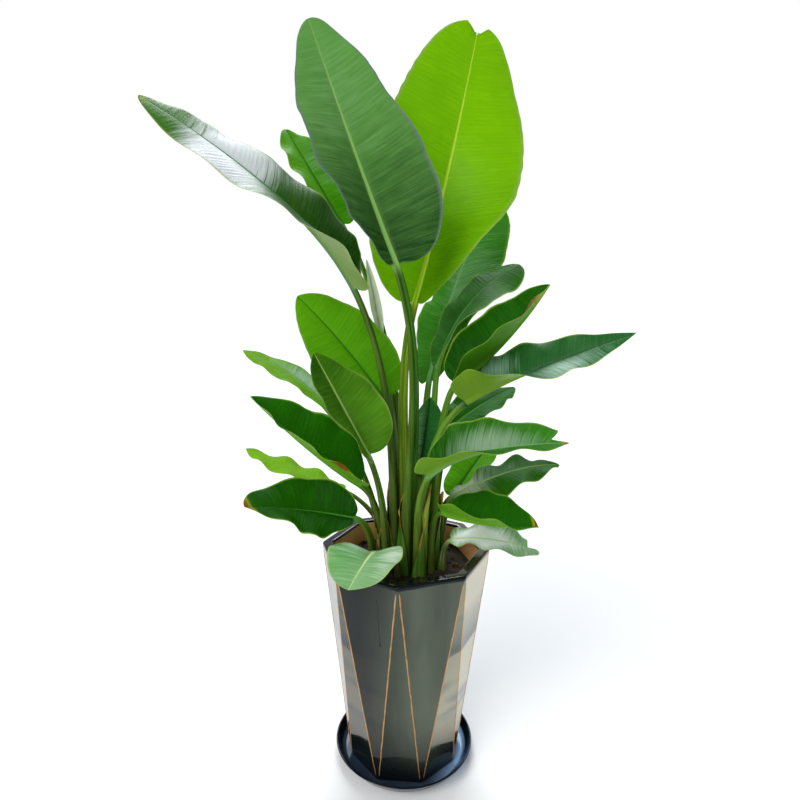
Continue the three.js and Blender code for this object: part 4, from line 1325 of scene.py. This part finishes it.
@dataclass
class Sheath:
    """Old sheath at the foot of a stalk: a curled sheet that clasps its back, with dried
    orange edges that come round to the front and part from it at the top."""

    leaf: Leaf
    name: str
    height: float
    clasp: float  # half of the angle that it wraps at the soil
    turn: float  # how far round it is turned
    flare: float  # how far its top stands off
    dried: float  # how dry its edges are
    pale: bool = False  # whether it is still young and yellow-green
    thickness: float = 0.0009
    rows: int = 46
    columns: int = 25

    def build(self) -> bpy.types.Object:
        """Model the sheath as one closed curled sheet and dress it."""
        leaf = self.leaf
        seed = leaf.seed + 17
        k = np.linspace(0, 1, self.rows)
        t = (k * (self.height + 0.02) - 0.02) / leaf.rise
        centre, along, up, rib = leaf.stalk_path(t)
        out = np.cross(along, up)
        c = np.linspace(-1, 1, self.columns)[None, :]
        k = k[:, None]
        slope = self.height * k ** 3 * (0.25 * c - 0.12 * np.abs(c) + 0.03 * ripple(c * 5, seed + 4))
        narrow = (1 - 0.7 * k ** 1.6) * (1 + 0.02 * ripple(k * 1.5, seed))
        angle = np.radians(self.turn + self.clasp * c * narrow)
        stand = 1.06 + 0.05 * ripple(k * 3 + c * 1.5, seed + 1) * k
        gap = self.flare * k ** 2.5 * (0.6 + 0.4 * np.abs(c)) + 0.003 * (np.abs(c) ** 6) * k
        faces = []
        for thick in (self.thickness, 0.0):
            radius = rib[:, None] * stand + gap + thick
            flat = radius - 0.2 * rib[:, None] * np.cos(angle) ** 2
            faces.append(centre[:, None] + along[:, None] * slope[..., None]
                         + out[:, None] * (radius * np.sin(angle))[..., None]
                         - up[:, None] * (flat * np.cos(angle))[..., None])
        points = np.concatenate([faces[0], faces[1][:, ::-1]], axis=1)
        edge = ease((np.abs(c) - 0.86 + 0.3 * k ** 3 + 0.04 * ripple(k * 2, seed + 2)) / 0.2)
        dry = np.maximum(edge * ease((k - 0.3) / 0.6), ease((k - 0.88) / 0.12))
        worn = np.clip(dry * self.dried, 0, 1)
        both = np.concatenate([worn, worn[:, ::-1]], axis=1)
        ones = np.ones_like(both)
        age = np.stack([both, np.zeros_like(both), np.zeros_like(both), ones], axis=-1)
        across = np.concatenate([c, c[:, ::-1]], axis=1) * rib[:, None]
        vein_map = np.stack([k * self.height * ones - BELOW_BLADE, across], axis=-1)
        piece = skin(points, {"age": age}, vein_map)
        smooth(piece, 60)
        tissue = leaf.tissue
        look = SheathTissue(tissue.name + "_sheath", green=tissue.stalk, shade=tissue.stalk_shade)
        if self.pale:
            look = SheathTissue("young_pale_sheath", green="#d4ec50", shade="#a0c832")
        look.dress(piece)
        return settle(piece, self.name, leaf.slot)


DEEP, BLUE, MID = "deep_green_leaf", "blue_green_leaf", "mid_green_leaf"
YELLOW, PALE = "yellow_green_leaf", "pale_green_leaf"

LEAVES = (
    Leaf("leaf_crown_front", CROWN_GREEN, DEEP, root=(0.004, -0.036), joint=(-0.022, -0.06, 1.09),
         tip=(-0.17, -0.085, 1.494), face=(0.35, -0.86, 0.36), width=0.258, bow=(-0.002, 0.04, 0.0),
         fold=(52, 34), fold_tip=(10, 8), twist=16, wave=(0.004, 3.5, 0.4), shape=(0.36, 0.52),
         half=(0.95, 1.05), stalk=(0.0125, 0.0085), pleats=0.0008, swell=1.1, rib_show=0.75,
         tone_and_painted_light=(-0.75, -0.7, 1.0, 1.1), blemishes=(Blemish(0.74, 0.0, (0.36, 1.3), bloom_and_glare=0.36),)),
    Leaf("leaf_crown_back", LIT_GREEN, YELLOW, root=(0.002, -0.006), joint=(0.017, 0.06, 1.014),
         tip=(0.139, 0.12, 1.557), face=(0.06, -0.96, 0.28), width=0.305, bow=(0.002, 0.034, -0.02),
         fold=(16, 70), fold_tip=(8, -8), twist=14, wave=(0.005, 2.5, 1), shape=(0.45, 0.43),
         stalk=(0.0125, 0.0085), tip_lobes=(0.03, 0.024), tip_notch=0.034, pleats=0.0003, ruffle=0.0005,
         swell=0.55, tone_and_painted_light=(0.0, -0.4, 0.0, 0.5)),
    Leaf("leaf_high_left", SKY_GREEN, BLUE, root=(-0.022, -0.02), joint=(-0.103, -0.03, 1.046),
         tip=(-0.473, -0.07, 1.378), face=(0.28, -0.32, 0.9), width=0.202,
         bow=(0.055, -0.016, -0.004), fold=(46, 22), fold_tip=(0, 6), twist=-8,
         wave=(0.005, 4, 2), shape=(0.36, 0.64), stalk=(0.0125, 0.008), pleats=0.0005,
         swell=0.45, tone_and_painted_light=(-0.2, -0.6, 0.6, 0.5), tip_age=(0.0, 0.5),
         blemishes=(Blemish(0.7, 0.1, (0.13, 1.8), bloom_and_glare=1.6),)),
    Leaf("leaf_upper_left", MID_GREEN, MID, root=(0.0, 0.056), joint=(-0.143, 0.15, 1.178),
         tip=(-0.274, 0.24, 1.388), face=(0.55, -0.66, 0.5), width=0.132, bow=(-0.004, 0.0, 0.008),
         fold=(34, 14), fold_tip=(18, 18), wave=(0.005, 3.5, 0), shape=(0.42, 0.6),
         stalk=(0.0105, 0.006), tone_and_painted_light=(0.6, -0.4, 0.7, 0.0),
         blemishes=(Blemish(0.6, 0.5, (0.4, 0.9), bloom_and_glare=0.42),)),
    Leaf("leaf_young_rolled", SPROUT, PALE, root=(-0.008, 0.026), joint=(-0.055, 0.078, 0.945),
         tip=(-0.085, 0.084, 1.102), face=(0.1, -1, 0.1), width=0.052, fold=(72, 72),
         fold_tip=(72, 72), wave=(0.0, 1, 0), shape=(0.5, 0.8), stalk=(0.007, 0.004), pleats=0.0002,
         ruffle=0.0004, tone_and_painted_light=(0.0, 0.2, 1.0, 1.0)),
    Leaf("leaf_upper_right", BLUE_GREEN, BLUE, root=(0.03, 0.028), joint=(0.052, 0.13, 0.838),
         tip=(0.21, 0.35, 1.248), face=(-0.62, -0.66, 0.4), width=0.19, bow=(-0.014, 0.014, 0.008),
         fold=(6, 24), fold_tip=(0, -6), twist=4, wave=(0.005, 3.5, 1.2), shape=(0.48, 0.45),
         half=(0.88, 1.12), stalk=(0.012, 0.0075), lean=0.15, tears=(Tear(-1, 0.34, 0.8),),
         pleats=0.0007, swell=0.45, tone_and_painted_light=(0.4, 0.5, 0.8, 0.9),
         blemishes=(Blemish(0.5, 0.3, (0.35, 0.9), bloom_and_glare=0.5),)),
    Leaf("leaf_round_right", BLUE_GREEN, BLUE, root=(0.054, 0.01), joint=(0.069, 0.086, 0.879),
         tip=(0.249, 0.168, 1.094), face=(-0.6, -0.4, 0.7), width=0.155, bow=(-0.024, -0.006, 0.022),
         fold=(0, 46), fold_tip=(2, -6), twist=6, shape=(0.46, 0.43),
         half=(0.95, 1.05), stalk=(0.011, 0.007), lean=0.1, swell=0.35,
         tone_and_painted_light=(0.0, -0.2, 0.1, -0.2), pleats=0.0003, rib_show=0.4),
    Leaf("leaf_browned_right", DARK_GREEN, DEEP, root=(0.06, -0.012), joint=(0.101, -0.016, 0.855),
         tip=(0.282, 0.004, 1.054), face=(-0.5, -0.49, 0.71), width=0.168, bow=(0.01, 0.002, -0.008),
         fold=(36, 74), fold_tip=(24, 54), twist=-4, wave=(0.004, 3, 2.4), shape=(0.4, 0.66),
         half=(1.04, 0.96), stalk=(0.011, 0.007), lean=0.12, swell=0.4,
         tone_and_painted_light=(-0.4, 0.2, -0.2, 0.4), pleats=0.0003, rib_show=0.3,
         blemishes=(Blemish(0.74, 0.95, (0.16, 0.4), brown=0.7, yellow=1.0),
                    Blemish(0.9, 0.5, (0.16, 0.8), brown=0.35, yellow=0.85))),
    Leaf("leaf_long_right", TEAL_GREEN, BLUE, root=(0.034, -0.026), joint=(0.118, -0.056, 0.827),
         tip=(0.426, -0.086, 0.969), face=(-0.16, -0.36, 0.92), width=0.186, bow=(-0.044, 0.0, -0.01),
         fold=(8, 80), fold_tip=(22, 4), twist=12, wave=(0.005, 4, 0.6), shape=(0.35, 0.92),
         half=(0.96, 1.04), stalk=(0.012, 0.0075), pleats=0.0005, swell=0.45,
         tone_and_painted_light=(-0.4, -0.3, 0.1, 0.3), rib_show=0.4,
         blemishes=(Blemish(0.34, -0.6, (0.16, 0.5), bloom_and_glare=0.75),
                    Blemish(0.68, 0.7, (0.22, 0.6), bloom_and_glare=0.75))),
    Leaf("leaf_behind_right", DARK_GREEN, MID, root=(0.062, 0.05), joint=(0.104, 0.082, 0.745),
         tip=(0.256, 0.2, 0.81), face=(-0.3, -0.32, 0.9), width=0.12, bow=(-0.002, 0.0, 0.006),
         fold=(24, 18), shape=(0.42, 0.7), stalk=(0.0095, 0.006), lean=0.12, tone_and_painted_light=(0.1, 0.35, 0.2, 0.6)),
    Leaf("leaf_torn_right", BLUE_GREEN, DEEP, root=(0.028, -0.054), joint=(0.05, -0.095, 0.693),
         tip=(0.294, -0.16, 0.777), face=(-0.2, -0.37, 0.91), width=0.158, bow=(-0.032, -0.014, 0.018),
         fold=(32, 62), fold_tip=(12, 32), wave=(0.004, 3.5, 1.8), shape=(0.4, 0.6), half=(1.03, 0.97),
         stalk=(0.012, 0.008), tears=(Tear(-1, 0.89, 0.34, 0.012, 0.06),),
         swell=0.5, tone_and_painted_light=(-0.5, 0.0, 0.5, 0.4), tip_age=(0.0, 0.0),
         blemishes=(Blemish(0.56, -0.2, (0.33, 0.55), bloom_and_glare=0.92),
                    Blemish(1.0, 0.2, (0.05, 2.0), brown=0.5, yellow=0.95))),
    Leaf("leaf_wavy_right", DEEP_GREEN, MID, root=(0.078, -0.002), joint=(0.102, 0.028, 0.602),
         tip=(0.34, 0.07, 0.66), face=(-0.12, -0.18, 0.98), width=0.127, bow=(0.006, -0.012, 0.025),
         fold=(-6, -6), fold_tip=(10, 9), wave=(0.009, 3, 2.2), shape=(0.45, 0.8),
         stalk=(0.0085, 0.0055), ruffle=0.002, pleats=0.0005, tone_and_painted_light=(-0.2, 0.1, -0.5, -0.3),
         blemishes=(Blemish(0.1, 0.0, (0.22, 1.2), bloom_and_glare=0.8),)),
    Leaf("leaf_low_right", DARK_GREEN, DEEP, root=(0.054, -0.042), joint=(0.077, -0.056, 0.596),
         tip=(0.256, -0.122, 0.598), face=(0.03, -0.44, 0.9), width=0.142, bow=(-0.009, -0.025, 0.002),
         fold=(29, 75), fold_tip=(22, 52), wave=(0.004, 3, 0.5), shape=(0.44, 0.56), half=(1.03, 0.97),
         stalk=(0.0095, 0.0065), tone_and_painted_light=(0.1, 0.3, 0.4, 0.5),
         tip_age=(0.8, 0.9), rib_show=0.4, pleats=0.0003),
    Leaf("leaf_lowest_right", PALE_GREEN, PALE, root=(0.078, -0.032), joint=(0.099, -0.006, 0.514),
         tip=(0.282, -0.034, 0.501), face=(0.03, -0.2, 0.98), width=0.104, bow=(-0.006, 0.0, 0.015),
         fold=(10, 28), fold_tip=(12, 14), wave=(0.006, 3, 1), shape=(0.43, 0.45),
         stalk=(0.008, 0.005), tears=(Tear(-1, 0.86, 0.25),), ruffle=0.002, tone_and_painted_light=(-0.1, 0.1, 0.1, 0.3),
         blemishes=(Blemish(0.36, 0.05, (0.36, 0.8), bloom_and_glare=1.6),)),
    Leaf("leaf_back_right", MID_GREEN, MID, root=(0.076, 0.024), joint=(0.112, 0.11, 0.57),
         tip=(0.25, 0.24, 0.7), face=(-0.5, -0.35, 0.8), width=0.11, bow=(0.0, 0.0, 0.014),
         wave=(0.004, 3, 0.9), shape=(0.42, 0.7), stalk=(0.008, 0.0055),
         tone_and_painted_light=(0.3, 0.3, 0.6, 0.6)),
    Leaf("leaf_centre_folded", TEAL_GREEN, BLUE, root=(0.028, 0.0), joint=(0.03, 0.016, 0.653),
         tip=(0.049, 0.014, 0.824), face=(0, -0.99, 0.12), width=0.094, bow=(0.003, 0.016, 0.004),
         fold=(56, 66), fold_tip=(42, 36), wave=(0.003, 2, 0), shape=(0.55, 0.66), half=(0.9, 1.05),
         stalk=(0.0095, 0.006), lean=0.15, tone_and_painted_light=(0.5, 0.5, 0.5, 0.6), rib_show=0.5,
         blemishes=(Blemish(0.4, -0.6, (0.5, 0.5), bloom_and_glare=0.8),)),
    Leaf("leaf_mid_left", MID_GREEN, MID, root=(-0.024, 0.008), joint=(-0.045, 0.012, 0.82),
         tip=(-0.222, 0.026, 1.028), face=(0.16, -0.89, 0.43), width=0.163, bow=(0.0, 0.01, 0.008),
         fold=(15, 19), fold_tip=(14, 11), wave=(0.004, 3, 1.4), shape=(0.41, 0.68), half=(0.98, 1.02),
         stalk=(0.0115, 0.007), lean=0.1, swell=0.5, tone_and_painted_light=(0.3, 0.2, 0.8, 0.6), rib_show=0.4,
         pleats=0.0003),
    Leaf("leaf_front_left", OLIVE_GREEN, MID, root=(-0.04, -0.044), joint=(-0.076, -0.06, 0.72),
         tip=(-0.173, -0.095, 0.929), face=(0.58, -0.68, 0.45), width=0.148,
         bow=(-0.003, -0.01, 0.012), fold=(58, 48), fold_tip=(8, -2), twist=9, wave=(0.004, 3, 2),
         shape=(0.36, 0.72), half=(0.92, 1.08), stalk=(0.01, 0.0065), tone_and_painted_light=(0.2, 0.5, -0.8, -0.2)),
    Leaf("leaf_narrow_left", LIME_GREEN, YELLOW, root=(-0.052, 0.01), joint=(-0.16, 0.09, 0.76),
         tip=(-0.385, 0.2, 0.894), face=(0.5, -0.3, 0.81), width=0.112, bow=(0.022, 0.008, 0.008),
         fold=(30, 10), fold_tip=(2, 5), wave=(0.003, 3, 0), shape=(0.43, 0.65),
         stalk=(0.009, 0.0055), tone_and_painted_light=(0.0, 0.0, 0.3, 0.3), pleats=0.0003,
         blemishes=(Blemish(0.4, 0.4, (0.4, 0.7), bloom_and_glare=0.72),)),
    Leaf("leaf_spotted_left", DARK_GREEN, DEEP, root=(-0.05, -0.018), joint=(-0.093, -0.062, 0.658),
         tip=(-0.291, -0.112, 0.849), face=(0.4, -0.45, 0.8), width=0.165, bow=(0.003, -0.016, -0.006),
         fold=(60, 34), fold_tip=(52, 12), wave=(0.004, 3.5, 1.1), shape=(0.46, 0.7),
         half=(0.94, 1.06), stalk=(0.01, 0.0065), tone_and_painted_light=(0.4, 0.4, 0.4, 0.5),
         blemishes=(Blemish(0.3, -0.75, (0.09, 0.45), brown=0.8, yellow=0.95),)),
    Leaf("leaf_pale_left", LIME_GREEN, YELLOW, root=(-0.04, 0.036), joint=(-0.148, 0.11, 0.583),
         tip=(-0.396, 0.22, 0.646), face=(0.06, -0.1, 0.99), width=0.095, bow=(-0.007, -0.009, 0.003),
         fold=(22, 0), fold_tip=(11, 8), wave=(0.007, 3, 0.4), shape=(0.44, 0.82),
         stalk=(0.0075, 0.005), tone_and_painted_light=(0.4, 0.4, 0.7, 0.7)),
    Leaf("leaf_low_left", DARK_GREEN, DEEP, root=(-0.068, -0.038), joint=(-0.103, -0.062, 0.586),
         tip=(-0.31, -0.118, 0.632), face=(0, -0.5, 0.86), width=0.146, bow=(-0.002, 0.038, -0.01),
         fold=(14, 48), fold_tip=(25, 8), twist=6, wave=(0.005, 3, 0.6), shape=(0.47, 0.51),
         stalk=(0.01, 0.0065), tone_and_painted_light=(-0.6, -0.6, -0.4, -0.4), pleats=0.0003,
         tip_age=(0.9, 0.8), rib_show=0.35),
    Leaf("leaf_over_rim", PALE_GREEN, PALE, root=(-0.014, -0.062), joint=(-0.063, -0.112, 0.535),
         tip=(-0.102, -0.216, 0.514), face=(-0.2, -0.47, 0.86), width=0.154, bow=(0.005, 0.006, 0.012),
         fold=(22, 28), fold_tip=(12, 5), twist=6, wave=(0.003, 2, 0), shape=(0.38, 0.52),
         half=(0.97, 1.03), stalk=(0.008, 0.0055), lean=0.5, pleats=0.0009,
         tone_and_painted_light=(0.2, -0.45, 0.35, -0.15),
         blemishes=(Blemish(0.4, -0.75, (0.5, 0.5), bloom_and_glare=0.42),
                    Blemish(0.08, 0.5, (0.16, 0.9), bloom_and_glare=0.4))),
)


def sheaths() -> list[Sheath]:
    """The sheaths that are left on the thickest stalks."""
    leaves = {leaf.node: leaf for leaf in LEAVES}
    table = (  # leaf, height, clasp, turn, flare, dried
        ("crown_front", 0.18, 150.0, 14.0, 0.003, 0.55),
        ("crown_back", 0.22, 140.0, -20.0, 0.003, 0.4),
        ("high_left", 0.15, 150.0, 24.0, 0.004, 0.8),
        ("mid_left", 0.17, 140.0, -10.0, 0.003, 0.4),
        ("long_right", 0.15, 150.0, 18.0, 0.004, 0.7),
        ("torn_right", 0.10, 150.0, -30.0, 0.005, 0.9),
        ("upper_right", 0.14, 140.0, 0.0, 0.004, 0.45),
        ("browned_right", 0.12, 150.0, -18.0, 0.004, 0.7),
        ("front_left", 0.09, 150.0, 28.0, 0.006, 0.9),
        ("spotted_left", 0.10, 150.0, -24.0, 0.005, 0.5),
    )
    return [Sheath(leaves["leaf_" + name], name + "_sheath", *sizes, pale=name == "long_right")
            for name, *sizes in table]


# ---------------------------------------------------------------- stage


@dataclass
class Studio:
    """A plain pale floor in soft light from all round, with a broad, even light from high
    behind, which puts the sheen on the leaves, and a softer one from the left in front."""

    floor_size: float = 24.0
    floor_colour: str = "#f1f0ee"
    backdrop: float = 1.0  # strength of the white that the camera sees behind the plant
    front: float = 0.3  # strength of the surround's light from in front
    back: float = 0.7
    zenith: float = 0.45  # from above
    sky: str = "#e9f1ff"  # colour of that light

    def build_floor(self) -> None:
        """Lay the floor, with its edges far out of view."""
        bpy.ops.mesh.primitive_circle_add(vertices=96, radius=self.floor_size / 2, fill_type="NGON")
        floor = bpy.context.object
        floor.name = "studio_floor"
        look = bpy.data.materials.new("matt_white_paint")
        look.use_nodes = True
        shader = look.node_tree.nodes["Principled BSDF"]
        shader.inputs["Base Color"].default_value = linear(self.floor_colour)
        shader.inputs["Roughness"].default_value = 0.9
        shader.inputs["Specular IOR Level"].default_value = 0.2
        floor.data.materials.append(look)

    def build_sky(self) -> None:
        """Surround the scene with light, brighter behind, before a plain white backdrop."""
        world = bpy.data.worlds.new("soft_surround")
        bpy.context.scene.world = world
        world.use_nodes = True
        nodes = Nodes(world.node_tree)
        way = nodes.split(nodes.add("TexCoord").outputs["Generated"])
        behind = nodes.ramp(way["Y"], -0.7, 0.7, self.front, self.back, soft=True)
        high = nodes.ramp(way["Z"], 0.4, 0.9, soft=True)
        surround = nodes.add("Mix", {0: high, 2: behind, 3: self.zenith}).outputs[0]
        seen = nodes.add("LightPath").outputs["Is Camera Ray"]
        strength = nodes.add("Mix", {0: seen, 2: surround, 3: self.backdrop}).outputs[0]
        tint = nodes.blend(seen, self.sky, "#ffffff")
        light = nodes.add("Background", {"Color": tint, "Strength": strength}).outputs[0]
        nodes.add("OutputWorld", {"Surface": light})

    def lamp(self, name: str, way: Triple, strength: float, spread: float, colour: str) -> None:
        """Add an even light from far off.

        Args:
            name: The light's name.
            way: Direction from the plant to the light.
            strength: Its strength in watts per square metre.
            spread: How many degrees wide it looks.
            colour: Its colour.
        """
        light = bpy.data.lights.new(name, "SUN")
        light.energy = strength
        light.angle = math.radians(spread)
        light.color = linear(colour)[:3]
        lamp = bpy.data.objects.new(name, light)
        lamp.location = Vector(way) * 3
        lamp.rotation_euler = Vector(way).to_track_quat("Z", "Y").to_euler()
        bpy.context.collection.objects.link(lamp)

    def build(self) -> None:
        """Set up floor, surround and lamps."""
        self.build_floor()
        self.build_sky()
        self.lamp("sky_light", (-0.05, 0.68, 0.73), strength=2.2, spread=32, colour="#f6faff")
        self.lamp("front_light", (-0.5, -0.62, 0.6), strength=2.3, spread=50, colour="#ffffff")


@dataclass
class PhotoCamera:
    """The photo's viewpoint, solved from the pot's corners: a pinhole 1.2 m in front."""

    distance: float = 1.212  # from the plant's axis
    height: float = 1.081
    yaw: float = -0.6  # how far it is turned to the right
    pitch: float = 12.15  # how far it looks down
    roll: float = 0.27  # how far its right side is raised
    focal_pixels: float = 604.0
    image_pixels: float = 800.0
    sensor: float = 36.0  # width of the sensor in millimetres

    def build(self) -> None:
        """Create the camera and make it the scene's."""
        yaw, pitch, roll = (math.radians(a) for a in (self.yaw, self.pitch, self.roll))
        forward = Vector((math.sin(yaw) * math.cos(pitch), math.cos(yaw) * math.cos(pitch),
                          -math.sin(pitch)))
        level = Vector((math.cos(yaw), -math.sin(yaw), 0))
        upright = level.cross(forward)
        right = math.cos(roll) * level + math.sin(roll) * upright
        up = -math.sin(roll) * level + math.cos(roll) * upright
        lens = bpy.data.cameras.new("photo_camera")
        lens.sensor_width = self.sensor
        lens.lens = self.focal_pixels / self.image_pixels * self.sensor
        camera = bpy.data.objects.new("photo_camera", lens)
        camera.matrix_world = Matrix.Translation((0, -self.distance, self.height)) @ Matrix(
            (right, up, -forward)).transposed().to_4x4()
        bpy.context.collection.objects.link(camera)
        bpy.context.scene.camera = camera


def main() -> None:
    """Build the saucer, planter, soil, leaves, sheaths and stage, in that order."""
    logging.basicConfig(level=logging.INFO, format="%(name)s %(message)s")
    Saucer().build()
    planter = Planter()
    planter.build_run(planter.build_body())
    planter.build_lines()
    soil = Soil(planter=planter)
    soil.build_body()
    soil.build_chips()
    for leaf in LEAVES:
        leaf.build()
    for sheath in sheaths():
        sheath.build()
    Studio().build()
    PhotoCamera().build()
    bpy.context.scene.view_settings.view_transform = "Standard"


if __name__ == "__main__":
    main()
